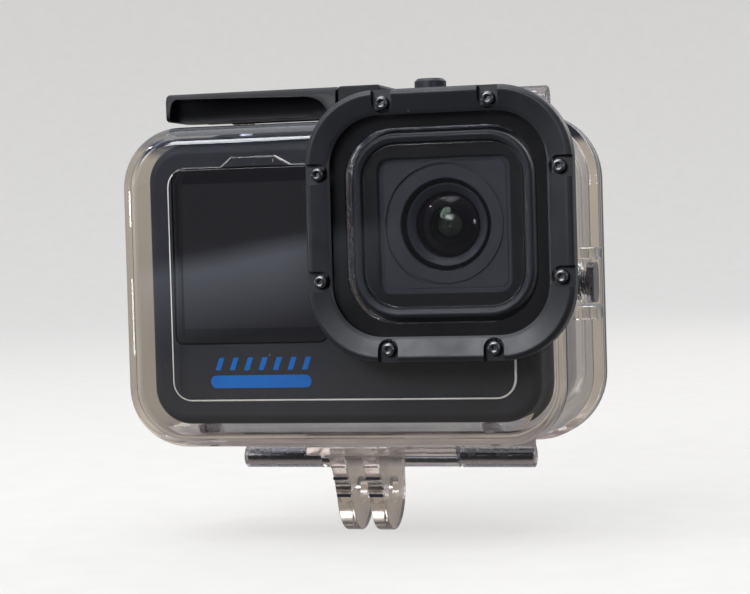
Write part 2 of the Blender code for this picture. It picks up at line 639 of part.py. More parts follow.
def build_lens():
    back = CAM_FRONT - GAP
    seat = -19.8 * MM
    lip = port_outline(14.5 * MM, 6.4 * MM)
    ledge = port_outline(13.2 * MM, 5.1 * MM)
    side = port_outline(COVER_HALF, COVER_RADIUS)
    base = port_outline(TUNNEL_HALF - GAP, TUNNEL_RADIUS - GAP)
    loft("lens_cover_frame", "Y", (
        (back, base),
        (back - 1.1 * MM, base),
        (back - 1.1 * MM, side),
        (COVER_FRONT + 0.6 * MM, side),
        (COVER_FRONT, port_outline(COVER_HALF - 0.6 * MM, COVER_RADIUS - 0.6 * MM)),
        (COVER_FRONT, port_outline(14.8 * MM, 6.7 * MM)),
        (COVER_FRONT + 0.4 * MM, lip),
        (seat, lip),
        (seat, ledge),
        (back, ledge),
    ), MATERIALS["dark_grey"], closed=True)
    prism("lens_cover_glass", "Y", -21.3 * MM, -20.1 * MM, port_outline(14.2 * MM, 6.1 * MM),
          MATERIALS["glass"])
    turned("lens_barrel", "Y", LENS_X, LENS_Z, (
        (-18.75 * MM, 10.9 * MM), (-17.5 * MM, 10.9 * MM), (-17.5 * MM, 10.3 * MM),
        (-14.9 * MM, 10.3 * MM), (-14.9 * MM, 9.0 * MM), (-7.6 * MM, 9.0 * MM),
        (-7.6 * MM, 4.2 * MM), (-15.4 * MM, 4.2 * MM), (-15.4 * MM, LENS_EDGE + GAP),
        (-17.2 * MM, LENS_EDGE + GAP), (-17.6 * MM, 6.6 * MM), (-17.2 * MM, 6.95 * MM),
        (-16.5 * MM, 7.0 * MM), (-16.5 * MM, 7.7 * MM), (-18.2 * MM, 8.05 * MM),
        (-18.75 * MM, 8.9 * MM)), MATERIALS["satin_black"], closed=True)
    rise = math.asin(LENS_EDGE / LENS_CURVE)
    dome = [(-15.7 * MM, LENS_EDGE - 0.1 * MM), (LENS_SEAT, LENS_EDGE)]
    steps = 6
    for step in range(1, steps):
        angle = rise * (1 - step / steps)
        dome.append((LENS_SEAT - LENS_CURVE * (math.cos(angle) - math.cos(rise)),
                     LENS_CURVE * math.sin(angle)))
    turned("lens_front_element", "Y", LENS_X, LENS_Z, dome, MATERIALS["glass"])
    turned("lens_rear_group", "Y", LENS_X, LENS_Z, ((-14.8 * MM, 3.8 * MM), (-9.4 * MM, 3.8 * MM),
                                                    (-8.0 * MM, 3.0 * MM)), MATERIALS["glass"])
    block("image_sensor", (LENS_X - 4.0 * MM, -7.0 * MM, LENS_Z - 3.5 * MM),
          (LENS_X + 4.0 * MM, -6.2 * MM, LENS_Z + 3.5 * MM), MATERIALS["display"])
    block("sensor_board", (LENS_X - 10.5 * MM, -5.9 * MM, LENS_Z - 10.5 * MM),
          (LENS_X + 10.5 * MM, -4.8 * MM, LENS_Z + 10.5 * MM), MATERIALS["board"])


def build_internals():
    block("main_board", (-32.0 * MM, BOARD_FRONT, 18.5 * MM),
          (32.0 * MM, BOARD_FRONT + BOARD_THICKNESS, 61.5 * MM), MATERIALS["board"], 2.0 * MM)
    block("heat_spreader", (-30.0 * MM, 4.2 * MM, 19.5 * MM), (30.0 * MM, 5.2 * MM, 60.0 * MM),
          MATERIALS["aluminium"], 2.0 * MM)
    block("battery", (-33.5 * MM, -12.6 * MM, 22.0 * MM), (-2.0 * MM, 0.6 * MM, 56.0 * MM),
          MATERIALS["battery"], 1.5 * MM)
    turned("speaker", "Y", 20.0 * MM, 25.5 * MM, ((-12.0 * MM, 5.5 * MM), (-9.0 * MM, 5.5 * MM),
                                                  (-8.4 * MM, 4.9 * MM)), MATERIALS["dark_grey"])
    prism("battery_door", "X", -CAM_HALF_WIDTH, -CAM_HALF_WIDTH + 1.3 * MM,
          rounded_box(-13.0 * MM, 1.0 * MM, 21.0 * MM, 57.0 * MM, 2.0 * MM, 4),
          MATERIALS["charcoal"])
    turned("camera_shutter_button", "Z", SHUTTER_X, BUTTON_Y, (
        (62.4 * MM, 4.2 * MM), (64.8 * MM, 4.2 * MM), (65.1 * MM, 3.8 * MM)),
        MATERIALS["dark_grey"])
    turned("camera_mode_button", "X", BUTTON_Y, MODE_Z, (
        (34.0 * MM, 3.0 * MM), (36.1 * MM, 3.0 * MM), (36.4 * MM, 2.7 * MM)),
        MATERIALS["dark_grey"])
    for name, side in (("folding_finger_left", -1), ("folding_finger_right", 1)):
        build_folding_finger(name, side)


def build_folding_finger(name, side):
    """Stored flat in the base recess, its round end towards the camera's middle."""
    middle_y = -6.5 * MM
    inner, outer = side * 7.6 * MM, side * 14.4 * MM
    radius = 6.5 * MM
    outline = [(outer, middle_y - radius), (outer, middle_y + radius)]
    outline.extend(arc(inner, middle_y, radius, 90, 90 + 180 * side, 12))
    tongue = prism(name, "Z", 14.0 * MM, 16.0 * MM, outline, MATERIALS["satin_black"])
    cut(tongue, turned("hole", "Z", inner, middle_y, ((13.0 * MM, 2.5 * MM), (17.0 * MM, 2.5 * MM)),
                       steps=16))


MATERIALS = {}


def build_materials():
    MATERIALS.update({
        "clear": make_material("clear_polycarbonate", (0.93, 0.95, 0.97), 0.08, 0.0, 0.9),
        "glass": make_material("port_glass", (0.90, 0.93, 0.95), 0.02, 0.0, 0.9),
        "dark_glass": make_material("dark_glass", (0.02, 0.02, 0.025), 0.08),
        "display": make_material("display_panel", (0.03, 0.03, 0.04), 0.25),
        "satin_black": make_material("satin_black", (0.025, 0.025, 0.028), 0.40),
        "charcoal": make_material("charcoal_rubber", (0.045, 0.046, 0.050), 0.70),
        "dark_grey": make_material("dark_grey", (0.075, 0.075, 0.080), 0.45),
        "seal": make_material("black_seal", (0.02, 0.02, 0.02), 0.70),
        "steel": make_material("steel", (0.55, 0.56, 0.58), 0.30, 1.0),
        "aluminium": make_material("aluminium", (0.75, 0.76, 0.78), 0.35, 1.0),
        "board": make_material("circuit_board", (0.03, 0.16, 0.09), 0.50),
        "battery": make_material("battery_wrap", (0.12, 0.14, 0.22), 0.55),
    })


def main():
    clear_scene()
    build_materials()
    build_shell()
    build_port()
    build_fingers()
    build_door()
    build_pin("door_hinge_pin", -29.2 * MM, 27.9 * MM, DOOR_AXIS_Y, DOOR_AXIS_Z)
    build_latch()
    build_pin("latch_pin", -29.8 * MM, 29.4 * MM, LATCH_AXIS_Y, LATCH_AXIS_Z)
    build_shutter_button()
    build_side_button()
    build_camera_cases()
    build_screens()
    build_lens()
    build_internals()


main()
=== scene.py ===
"""Looks of the action camera in its clear protective housing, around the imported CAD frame.

Lengths inside the builders are millimetres in the row frame; skin() turns them into metres.
"""
import json
import math

import bmesh
import bpy
from mathutils import Matrix, Vector


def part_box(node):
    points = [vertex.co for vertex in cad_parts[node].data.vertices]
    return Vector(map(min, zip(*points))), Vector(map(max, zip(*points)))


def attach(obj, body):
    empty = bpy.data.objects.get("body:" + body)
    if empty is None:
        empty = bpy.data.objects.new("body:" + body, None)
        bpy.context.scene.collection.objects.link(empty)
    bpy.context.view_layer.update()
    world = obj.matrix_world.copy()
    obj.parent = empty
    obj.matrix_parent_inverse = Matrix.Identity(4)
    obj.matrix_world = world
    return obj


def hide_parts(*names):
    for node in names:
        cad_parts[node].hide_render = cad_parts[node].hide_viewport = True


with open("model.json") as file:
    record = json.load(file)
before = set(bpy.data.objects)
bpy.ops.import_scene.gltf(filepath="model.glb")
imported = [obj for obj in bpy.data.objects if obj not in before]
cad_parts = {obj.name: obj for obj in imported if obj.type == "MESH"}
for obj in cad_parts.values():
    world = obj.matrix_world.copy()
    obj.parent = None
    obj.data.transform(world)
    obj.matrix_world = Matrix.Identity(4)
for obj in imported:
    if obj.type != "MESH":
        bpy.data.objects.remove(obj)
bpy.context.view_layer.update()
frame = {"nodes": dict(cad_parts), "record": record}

MM = 0.001
SMOOTH_ANGLE = math.radians(32)
WELD = 0.001 * MM


def span(node):
    """Lowest and highest corner of a CAD node, in millimetres."""
    low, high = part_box(node)
    return [c / MM for c in low], [c / MM for c in high]


# ---- places, from the CAD nodes ----

COVER_LOW, COVER_HIGH = span("lens_cover_frame")
COVER_HALF = 16.1
LENS_X = (COVER_LOW[0] + COVER_HIGH[0]) / 2
LENS_Z = (COVER_LOW[2] + COVER_HIGH[2]) / 2
BEZEL_LOW, BEZEL_HIGH = span("port_bezel")
BEZEL_FRONT, BEZEL_BACK = BEZEL_LOW[1], BEZEL_HIGH[1]
BEZEL_HALF = (BEZEL_HIGH[0] - BEZEL_LOW[0]) / 2
SEAL_LOW, SEAL_HIGH = span("door_seal")
SHELL_HALF = (SEAL_HIGH[0] - SEAL_LOW[0]) / 2 + 2.3
SHELL_LOW_Z = SEAL_LOW[2] - 2.3
SHELL_HIGH_Z = SEAL_HIGH[2] + 2.3
SHELL_BOX_LOW, SHELL_BOX_HIGH = span("front_shell")
PORT_FRONT = SHELL_BOX_LOW[1]
SHELL_FRONT = PORT_FRONT + 1.8
SHELL_RIM = 13.7
CASE_LOW, CASE_HIGH = span("camera_front_case")
REAR_LOW, REAR_HIGH = span("camera_rear_case")
PIN_LOW, PIN_HIGH = span("door_hinge_pin")
HINGE_Y, HINGE_Z = (PIN_LOW[1] + PIN_HIGH[1]) / 2, (PIN_LOW[2] + PIN_HIGH[2]) / 2
PIN_BORE, SCREW_HOLE = 1.1, 0.95
# insets of the shell's outline: inside its wall, and out at its flange
WALL, FLANGE = 2.0, -1.6
LATCH_PIN_LOW, LATCH_PIN_HIGH = span("latch_pin")
LATCH_Y = (LATCH_PIN_LOW[1] + LATCH_PIN_HIGH[1]) / 2
LATCH_Z = (LATCH_PIN_LOW[2] + LATCH_PIN_HIGH[2]) / 2
LEVER_LOW, LEVER_HIGH = span("latch_lever")
LOCK_LOW, LOCK_HIGH = span("latch_lock")
CAP_LOW, CAP_HIGH = span("shutter_plunger")
SHUTTER_X, BUTTON_Y = (CAP_LOW[0] + CAP_HIGH[0]) / 2, (CAP_LOW[1] + CAP_HIGH[1]) / 2
SIDE_LOW, SIDE_HIGH = span("side_plunger")
MODE_Z = (SIDE_LOW[2] + SIDE_HIGH[2]) / 2
SCREWS = [span(f"bezel_screw_{i}") for i in range(1, 9)]
SCREW_PLACES = [((low[0] + high[0]) / 2, (low[2] + high[2]) / 2) for low, high in SCREWS]


# ---- camera, floor and light ----

def build_camera():
    data = bpy.data.cameras.new("view_camera")
    data.lens = 99.84
    data.sensor_width = 36.0
    data.clip_start = 0.01
    camera = bpy.data.objects.new("view_camera", data)
    right, up = (0.96346, 0.26630, -0.02878), (0.02064, 0.03335, 0.99923)
    back, place = (0.26706, -0.96331, 0.02663), (0.1049, -0.3724, 0.0461)
    camera.matrix_world = Matrix((*zip(right, up, back, place), (0.0, 0.0, 0.0, 1.0)))
    bpy.context.scene.collection.objects.link(camera)
    bpy.context.scene.camera = camera


LIGHT_TARGET = (0.0, 0.0, 0.04)
WARM_WHITE, CLEAN_WHITE = (1.0, 0.99, 0.97), (1.0, 0.99, 0.98)
LAMP_HIDDEN = ("transmission", "diffuse")
# name, place, width, height, power, colour, rays that do not see the light; metres and watts
LIGHTS = (
    ("top_softbox", (-0.12, -0.18, 0.80), 0.8, 0.8, 5.0, (0.96, 0.98, 1.0)),
    ("key_left", (-0.62, -0.42, 0.50), 0.35, 0.35, 2.6, WARM_WHITE, ("glossy",)),
    ("rim_back", (0.35, 0.65, 0.45), 0.5, 0.5, 1.6, (1.0, 0.96, 0.90)),
    ("front_high", (-0.25, -0.90, 0.44), 0.34, 0.34, 5.0, (0.95, 0.98, 1.0)),
    ("edge_low", (-0.75, -0.25, 0.009), 0.15, 0.042, 0.24, CLEAN_WHITE, ("transmission",)),
    ("edge_high", (-0.75, -0.25, 0.068), 0.15, 0.020, 0.22, CLEAN_WHITE, ("transmission",)),
    ("lamp_right", (0.62, -0.68, 0.128), 0.06, 0.10, 0.60, (0.86, 0.78, 1.0), LAMP_HIDDEN),
    ("lamp_left", (-0.607, -0.459, 0.518), 0.10, 0.045, 0.70, (1.0, 0.86, 0.94), LAMP_HIDDEN),
    ("lamp_top", (-0.118, -0.583, 0.735), 0.055, 0.018, 0.22, (1.0, 0.97, 0.98), LAMP_HIDDEN),
)


def add_light(name, place, width, height, power, colour, hidden_from=()):
    data = bpy.data.lights.new(name, "AREA")
    data.shape = "RECTANGLE"
    data.size = width
    data.size_y = height
    data.energy = power
    data.color = colour
    light = bpy.data.objects.new(name, data)
    track = (Vector(LIGHT_TARGET) - Vector(place)).to_track_quat("-Z", "Y")
    light.location = place
    light.rotation_euler = track.to_euler()
    light.visible_camera = False
    for rays in hidden_from:
        setattr(light, "visible_" + rays, False)
    bpy.context.scene.collection.objects.link(light)


def stage_profile():
    """(radius, height) of a flat floor, then a wall that rises all round, in metres."""
    floor_radius, wall_radius, wall_top = 1.1, 1.7, 1.6
    profile = [(floor_radius * step / 8, 0.0) for step in range(1, 9)]
    bend = wall_radius - floor_radius
    for step in range(1, 13):
        angle = math.pi / 2 * step / 12
        profile.append((floor_radius + bend * math.sin(angle), bend * (1 - math.cos(angle))))
    return profile + [(wall_radius, wall_top)]


def build_stage():
    """A pale bowl under and behind the object, level with the tips of the fingers."""
    steps = 96
    bm = bmesh.new()
    rings = [[bm.verts.new((x, y, height)) for x, y in circle(0.0, 0.0, radius, steps)]
             for radius, height in stage_profile()]
    middle = bm.verts.new((0.0, 0.0, 0.0))
    for step in range(steps):
        bm.faces.new((middle, rings[0][step], rings[0][(step + 1) % steps]))
    for low, high in zip(rings, rings[1:]):
        for step in range(steps):
            after = (step + 1) % steps
            bm.faces.new((low[step], high[step], high[after], low[after]))
    mesh = bpy.data.meshes.new("studio_floor")
    bm.to_mesh(mesh)
    bm.free()
    mesh.shade_smooth()
    floor = bpy.data.objects.new("studio_floor", mesh)
    bpy.context.scene.collection.objects.link(floor)
    floor.location.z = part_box("finger_mount")[0].z - 0.0002
    floor.visible_diffuse = False
    floor.visible_glossy = False
    paper = make_surface("studio_paper", (0.25, 0.245, 0.24), (0.27, 0.265, 0.26), 0.9, 0.95, 40.0,
                         0.02)
    feed(paper.node_tree, paper.node_tree.nodes["Principled BSDF"], {
        "Emission Color": (1.0, 0.985, 0.965), "Emission Strength": 0.52})
    dim_behind_glass(paper.node_tree)
    mesh.materials.append(paper)


def dim_behind_glass(tree):
    """Clear parts show the stage dimmer: tan at eye level, bluish above, dark where they mirror."""
    path = add_node(tree, "ShaderNodeLightPath").outputs
    place = add_node(tree, "ShaderNodeNewGeometry").outputs["Position"]
    split = add_node(tree, "ShaderNodeSeparateXYZ", {0: place}).outputs
    tone = add_ramp(tree, spread(tree, split["Z"], 0.0, 1.0, -0.1, 1.5), (
        (0.0, (0.36, 0.32, 0.28)), (0.20, (0.62, 0.55, 0.47)),
        (0.45, (0.40, 0.37, 0.35)), (0.75, (0.10, 0.11, 0.15))))
    mirrored = calculate(tree, "GREATER_THAN", path["Glossy Depth"], 0.5)
    ahead = calculate(tree, "MULTIPLY", mirrored, spread(tree, split["Y"], 1.0, 0.0, -0.9, -0.3))
    dim = add_node(tree, "ShaderNodeEmission", {
        "Color": mix_colours(tree, ahead, tone, (0.055, 0.058, 0.065))})
    through = calculate(tree, "GREATER_THAN", path["Transmission Depth"], 0.5)
    show_mix(tree, through, tree.nodes["Principled BSDF"], dim)


def build_world():
    """Bright above, dim in front, with one soft pale band low in front, as from a far window."""
    world = bpy.data.worlds.new("studio_light")
    bpy.context.scene.world = world
    world.use_nodes = True
    tree = world.node_tree
    place = add_node(tree, "ShaderNodeTexCoord").outputs["Generated"]
    split = add_node(tree, "ShaderNodeSeparateXYZ", {0: place}).outputs
    sky = add_ramp(tree, spread(tree, split["Z"], 0.0, 1.0, -1.0, 1.0), (
        (0.35, (0.34, 0.33, 0.32)), (0.52, (0.30, 0.31, 0.33)), (0.95, (0.90, 0.94, 1.0))))
    front = spread(tree, split["Y"], 0.17, 1.0, -0.80, -0.30)
    slope = calculate(tree, "MULTIPLY", split["X"], -0.18)
    level = calculate(tree, "ADD", calculate(tree, "ADD", split["Z"], slope), -0.0506)
    above = spread(tree, level, 1.0, 0.0, 0.0, 0.010)
    below = spread(tree, level, 0.04, 1.0, -0.034, 0.0)
    glow = calculate(tree, "MULTIPLY", above, below)
    for factor in (spread(tree, split["X"], 1.0, 0.0, -0.31, -0.25),
                   calculate(tree, "LESS_THAN", split["Y"], 0.0), 1.05):
        glow = calculate(tree, "MULTIPLY", glow, factor)
    dimmed, band = (add_node(tree, "ShaderNodeVectorMath", {0: colour, "Scale": factor},
                             operation="SCALE").outputs[0]
                    for colour, factor in ((sky, front), ((0.86, 0.95, 1.12), glow)))
    total = add_node(tree, "ShaderNodeVectorMath", {0: dimmed, 1: band}, operation="ADD")
    feed(tree, tree.nodes["Background"], {"Color": total.outputs[0], "Strength": 0.9})


def build_lights():
    for row in LIGHTS:
        add_light(*row)


# ---- node trees ----

def feed(tree, node, inputs):
    """Link each input given as a socket and set any other value; colours gain an alpha of 1."""
    for key, value in inputs.items():
        socket = node.inputs[key]
        if isinstance(value, bpy.types.NodeSocket):
            tree.links.new(value, socket)
        elif socket.type == "RGBA":
            socket.default_value = (*value, 1.0)
        else:
            socket.default_value = value
    return node


def add_node(tree, kind, inputs=None, **settings):
    node = tree.nodes.new(kind)
    for name, value in settings.items():
        setattr(node, name, value)
    return feed(tree, node, inputs or {})


def add_ramp(tree, source, stops):
    """Colour ramp through stops of (position, colour), all below 1."""
    node = add_node(tree, "ShaderNodeValToRGB", {0: source})
    elements = node.color_ramp.elements
    for index, (position, colour) in enumerate(stops):
        stop = elements[0] if index == 0 else elements.new(position)
        stop.position = position
        stop.color = (*colour, 1.0)
    elements.remove(elements[-1])
    return node.outputs[0]


def noise(tree, place, scale, detail=4.0, rough=0.6):
    return add_node(tree, "ShaderNodeTexNoise", {
        "Scale": scale, "Detail": detail, "Roughness": rough, "Vector": place}).outputs["Fac"]


def spread(tree, source, low, high, start=0.35, end=0.65):
    """Map the source from start...end to low...high, and hold it there beyond the ends."""
    return add_node(tree, "ShaderNodeMapRange", {
        "From Min": start, "From Max": end, "To Min": low, "To Max": high,
        "Value": source}).outputs[0]


def mix_colours(tree, factor, first, second):
    return add_node(tree, "ShaderNodeMix", {"Factor": factor, 6: first, 7: second},
                    data_type="RGBA").outputs[2]


def calculate(tree, operation, first, second):
    return add_node(tree, "ShaderNodeMath", {0: first, 1: second}, operation=operation).outputs[0]


def add_relief(tree, shader, height, strength, distance):
    """Bump the shader by a height; the distance is in millimetres."""
    bump = add_node(tree, "ShaderNodeBump", {
        "Strength": strength, "Distance": distance * MM, "Height": height})
    feed(tree, shader, {"Normal": bump.outputs[0]})


def show_mix(tree, factor, first, second):
    """The material shows its first shader at factor 0 and its second at 1."""
    mixer = add_node(tree, "ShaderNodeMixShader", {
        0: factor, 1: first.outputs[0], 2: second.outputs[0]})
    feed(tree, tree.nodes["Material Output"], {"Surface": mixer.outputs[0]})


# ---- node materials ----

DUST_COLOUR = (0.32, 0.31, 0.30)
# painted glow: emission colour of the pale edge finish, which lights itself though it is no lamp
PAINTED_EDGE_GLOW = (1.0, 0.93, 0.88)
PASSING_TINT = (0.97, 0.97, 0.97)
# painted shade: darker violet streaks on the shell's lower wall, in place of reflections
PAINTED_STREAK_SHADE = (0.60, 0.56, 0.62)


def new_material(name):
    material = bpy.data.materials.new(name)
    material.use_nodes = True
    tree = material.node_tree
    place = add_node(tree, "ShaderNodeTexCoord").outputs["Object"]
    return material, tree, tree.nodes["Principled BSDF"], place


def add_specks(tree, place, scale, share):
    """1 on sparse small specks of dust, 0 elsewhere."""
    cells = add_node(tree, "ShaderNodeTexVoronoi", {"Scale": scale, "Vector": place}).outputs
    near = calculate(tree, "LESS_THAN", cells["Distance"], 0.12)
    split = add_node(tree, "ShaderNodeSeparateColor", {0: cells["Color"]})
    chosen = calculate(tree, "LESS_THAN", split.outputs[0], share)
    return calculate(tree, "MULTIPLY", near, chosen)


def make_surface(name, dark, light, rough_low, rough_high, grain=14000.0, bump=0.10,
                 metallic=0.0, specks=0.0, coat=0.0, specular=0.5, glow=0.0, coat_rough=0.08):
    """Opaque moulded, coated or metal surface: cloudy colour, uneven gloss and a fine grain; a glow
    above 0 is painted light from emission.
    """
    material, tree, shader, place = new_material(name)
    cloud = spread(tree, noise(tree, place, 90.0), 0.0, 1.0)
    fine = noise(tree, place, grain, 3.0)
    colour = mix_colours(tree, cloud, dark, light)
    if specks:
        dust = add_specks(tree, place, 900.0, specks)
        colour = mix_colours(tree, dust, colour, DUST_COLOUR)
    smear = noise(tree, place, 160.0, 5.0, 0.7)
    feed(tree, shader, {
        "Base Color": colour, "Roughness": spread(tree, smear, rough_low, rough_high),
        "Metallic": metallic, "Specular IOR Level": specular, "Emission Color": PAINTED_EDGE_GLOW,
        "Emission Strength": glow, "Coat Weight": coat, "Coat Roughness": coat_rough})
    add_relief(tree, shader, fine, bump, 0.02)
    return material


def paint_shell_end_shade(tree, place, colour, top_shade):
    """Painted shade: darken the glass near the shell's top edge, standing in for the dark latch and
    case it would mirror, and paint darker streaks on its lower wall.
    """
    split = add_node(tree, "ShaderNodeSeparateXYZ", {0: place}).outputs
    height = spread(tree, split["Z"], 0.0, 1.0, (SHELL_HIGH_Z - 4.6) * MM,
                    (SHELL_HIGH_Z - 3.2) * MM)
    colour = mix_colours(tree, height, colour, top_shade)
    stretch = add_node(tree, "ShaderNodeVectorMath", {0: place, 1: (0.06, 0.4, 1.0)},
                       operation="MULTIPLY").outputs[0]
    streak = spread(tree, noise(tree, stretch, 900.0, 3.0), 0.0, 1.0, 0.42, 0.62)
    foot = spread(tree, split["Z"], 1.0, 0.0, (SHELL_LOW_Z + 2.2) * MM,
                  (SHELL_LOW_Z + 4.0) * MM)
    return mix_colours(tree, calculate(tree, "MULTIPLY", streak, foot), colour, PAINTED_STREAK_SHADE)


def make_glass(name, tint, ior, rough_low, rough_high, wave=0.0, specular=0.5,
               sheen_tint=(1.0, 1.0, 1.0), top_shade=None):
    """Clear moulded plastic or glass; lamps and bounced light pass straight through it."""
    material, tree, shader, place = new_material(name)
    deeper = tuple(c * 0.96 for c in tint)
    cloud = spread(tree, noise(tree, place, 35.0, 2.0), 0.0, 1.0)
    colour = mix_colours(tree, cloud, tint, deeper)
    if top_shade:
        colour = paint_shell_end_shade(tree, place, colour, top_shade)
    smear = noise(tree, place, 220.0, 6.0, 0.7)
    feed(tree, shader, {
        "Base Color": colour,
        "Roughness": spread(tree, smear, rough_low, rough_high, 0.45, 0.75),
        "Transmission Weight": 1.0, "IOR": ior, "Specular IOR Level": specular,
        "Specular Tint": sheen_tint})
    if wave:
        add_relief(tree, shader, noise(tree, place, 70.0, 1.5, 0.4), wave, 0.4)
    clear = add_node(tree, "ShaderNodeBsdfTransparent", {"Color": PASSING_TINT})
    path = add_node(tree, "ShaderNodeLightPath").outputs
    lit = calculate(tree, "MAXIMUM", path["Is Shadow Ray"], path["Is Diffuse Ray"])
    within = calculate(tree, "MODULO", path["Transmission Depth"], 2.0)
    outside = calculate(tree, "SUBTRACT", 1.0, within)
    bounced = calculate(tree, "SUBTRACT", path["Is Glossy Ray"], path["Is Transmission Ray"])
    mirrored = calculate(tree, "MULTIPLY", bounced, outside)
    show_mix(tree, calculate(tree, "MAXIMUM", lit, mirrored), shader, clear)
    return material


def make_shade(name, dark, light):
    """Clear wall that turns dark and satin where it is seen edge on, as if it mirrored the case."""
    material = make_surface(name, dark, light, 0.35, 0.5, bump=0.02, specular=0.2)
    tree = material.node_tree
    weight = add_node(tree, "ShaderNodeLayerWeight", {"Blend": 0.5})
    grazing = calculate(tree, "POWER", weight.outputs["Facing"], 3.0)
    clear = add_node(tree, "ShaderNodeBsdfTransparent")
    show_mix(tree, grazing, clear, tree.nodes["Principled BSDF"])
    return material


def box_mask(tree, place, low, high, soft):
    """1 inside a box in X and Z, 0 outside, in metres."""
    split = add_node(tree, "ShaderNodeSeparateXYZ", {0: place}).outputs
    result = 1.0
    for axis, start, end in zip("XZ", low, high):
        for edge, before, after in ((start, 0.0, 1.0), (end, 1.0, 0.0)):
            side = spread(tree, split[axis], before, after, edge - soft, edge + soft)
            result = calculate(tree, "MULTIPLY", side, result)
    return result


def make_screen(name, low, high):
    """Dark cover glass with the slightly paler panel of a switched-off display behind it."""
    material, tree, shader, place = new_material(name)
    panel = box_mask(tree, place, low, high, 0.05 * MM)
    colour = mix_colours(tree, panel, (0.011, 0.011, 0.014), (0.022, 0.021, 0.025))
    dust = add_specks(tree, place, 620.0, 0.012)
    smear = noise(tree, place, 60.0, 5.0, 0.65)
    feed(tree, shader, {
        "Base Color": mix_colours(tree, dust, colour, (0.30, 0.29, 0.27)),
        "Roughness": spread(tree, smear, 0.01, 0.045), "IOR": 1.52})
    add_relief(tree, shader, noise(tree, place, 350.0, 2.0), 0.02, 0.01)
    return material


# ---- outlines, as lists of (u, v) ----

CORNER_STEPS = 14
ROUND_STEPS = 64
SCREW_STEPS = 36


def rounded_box(u0, u1, v0, v1, radius, steps=CORNER_STEPS):
    corners = ((u1 - radius, v1 - radius, 0), (u0 + radius, v1 - radius, 90),
               (u0 + radius, v0 + radius, 180), (u1 - radius, v0 + radius, 270))
    outline = []
    for cu, cv, start in corners:
        for step in range(steps + 1):
            angle = math.radians(start + 90 * step / steps)
            outline.append((cu + radius * math.cos(angle), cv + radius * math.sin(angle)))
    return outline


def circle(cu, cv, radius, steps=ROUND_STEPS):
    angles = [2 * math.pi * step / steps for step in range(steps)]
    return [(cu + radius * math.cos(a), cv + radius * math.sin(a)) for a in angles]


def arc(cu, cv, radius, start, end, steps=12):
    angles = [math.radians(start + (end - start) * step / steps) for step in range(steps + 1)]
    return [(cu + radius * math.cos(a), cv + radius * math.sin(a)) for a in angles]


def lobes(cu, cv, inner, outer, steps=ROUND_STEPS, count=6):
    """Socket with rounded lobes."""
    outline = []
    for step in range(steps):
        angle = 2 * math.pi * step / steps
        radius = (inner + outer) / 2 + (outer - inner) / 2 * math.cos(count * angle)
        outline.append((cu + radius * math.cos(angle), cv + radius * math.sin(angle)))
    return outline


def shell_outline(inset):
    """Outline of the shell's side wall; a negative inset gives the flange."""
    return rounded_box(-SHELL_HALF + inset, SHELL_HALF - inset, SHELL_LOW_Z + inset,
                       SHELL_HIGH_Z - inset, 11.0 - inset)


def case_outline(inset):
    return rounded_box(CASE_LOW[0] + inset, CASE_HIGH[0] - inset, CASE_LOW[2] + inset,
                       CASE_HIGH[2] - inset, 6.75 - inset)


def lens_square(half, radius):
    return rounded_box(LENS_X - half, LENS_X + half, LENS_Z - half, LENS_Z + half, radius)


def roll(start, end, inset_start, inset_end, steps=7, bulge_first=True):
    """Quarter-round sections from (start, inset_start) to (end, inset_end)."""
    sections = []
    for step in range(steps + 1):
        angle = math.pi / 2 * step / steps
        near, far = math.sin(angle), 1 - math.cos(angle)
        if not bulge_first:
            near, far = far, near
        sections.append((start + (end - start) * far,
                         inset_start + (inset_end - inset_start) * near))
    return sections


# ---- solids ----

def to_space(axis, position, outline):
    if axis == "X":
        return [(position, u, v) for u, v in outline]
    if axis == "Y":
        return [(u, position, v) for u, v in outline]
    return [(u, v, position) for u, v in outline]


def finish_mesh(mesh):
    mesh.shade_smooth()
    mesh.set_sharp_from_angle(angle=SMOOTH_ANGLE)


def skin(name, rings, material=None, closed=False):
    """Skin rings of equal length; a closed skin joins its last ring to its first."""
    bm = bmesh.new()
    made = [[bm.verts.new([c * MM for c in point]) for point in ring] for ring in rings]
    count = len(made[0])
    pairs = list(zip(made, made[1:]))
    if closed:
        pairs.append((made[-1], made[0]))
    else:
        bm.faces.new(made[0])
        bm.faces.new(made[-1])
    for low, high in pairs:
        for i in range(count):
            j = (i + 1) % count
            bm.faces.new((low[i], low[j], high[j], high[i]))
    bmesh.ops.recalc_face_normals(bm, faces=bm.faces)
    if bm.calc_volume(signed=True) < 0:
        bmesh.ops.reverse_faces(bm, faces=bm.faces)
    mesh = bpy.data.meshes.new(name)
    bm.to_mesh(mesh)
    bm.free()
    if material:
        mesh.materials.append(material)
    finish_mesh(mesh)
    solid = bpy.data.objects.new(name, mesh)
    bpy.context.scene.collection.objects.link(solid)
    return solid


def loft(name, axis, sections, material=None, closed=False):
    return skin(name, [to_space(axis, position, outline) for position, outline in sections],
                material, closed)


def swept(name, outline, profile, material=None, closed=False):
    """Solid along Y; each row of the profile is a y and the arguments of the outline there."""
    return loft(name, "Y", [(y, outline(*sizes)) for y, *sizes in profile], material, closed)


def prism(name, axis, low, high, outline, material=None):
    return loft(name, axis, ((low, outline), (high, outline)), material)


def block(name, low, high, material=None, radius=0.0):
    if radius:
        outline = rounded_box(low[0], high[0], low[2], high[2], radius, 6)
    else:
        outline = ((low[0], low[2]), (high[0], low[2]), (high[0], high[2]), (low[0], high[2]))
    return prism(name, "Y", low[1], high[1], outline, material)


def turned(name, axis, cu, cv, profile, material=None, closed=False, steps=ROUND_STEPS):
    """Profile is (position along axis, radius)."""
    sections = [(position, circle(cu, cv, radius, steps)) for position, radius in profile]
    return loft(name, axis, sections, material, closed)


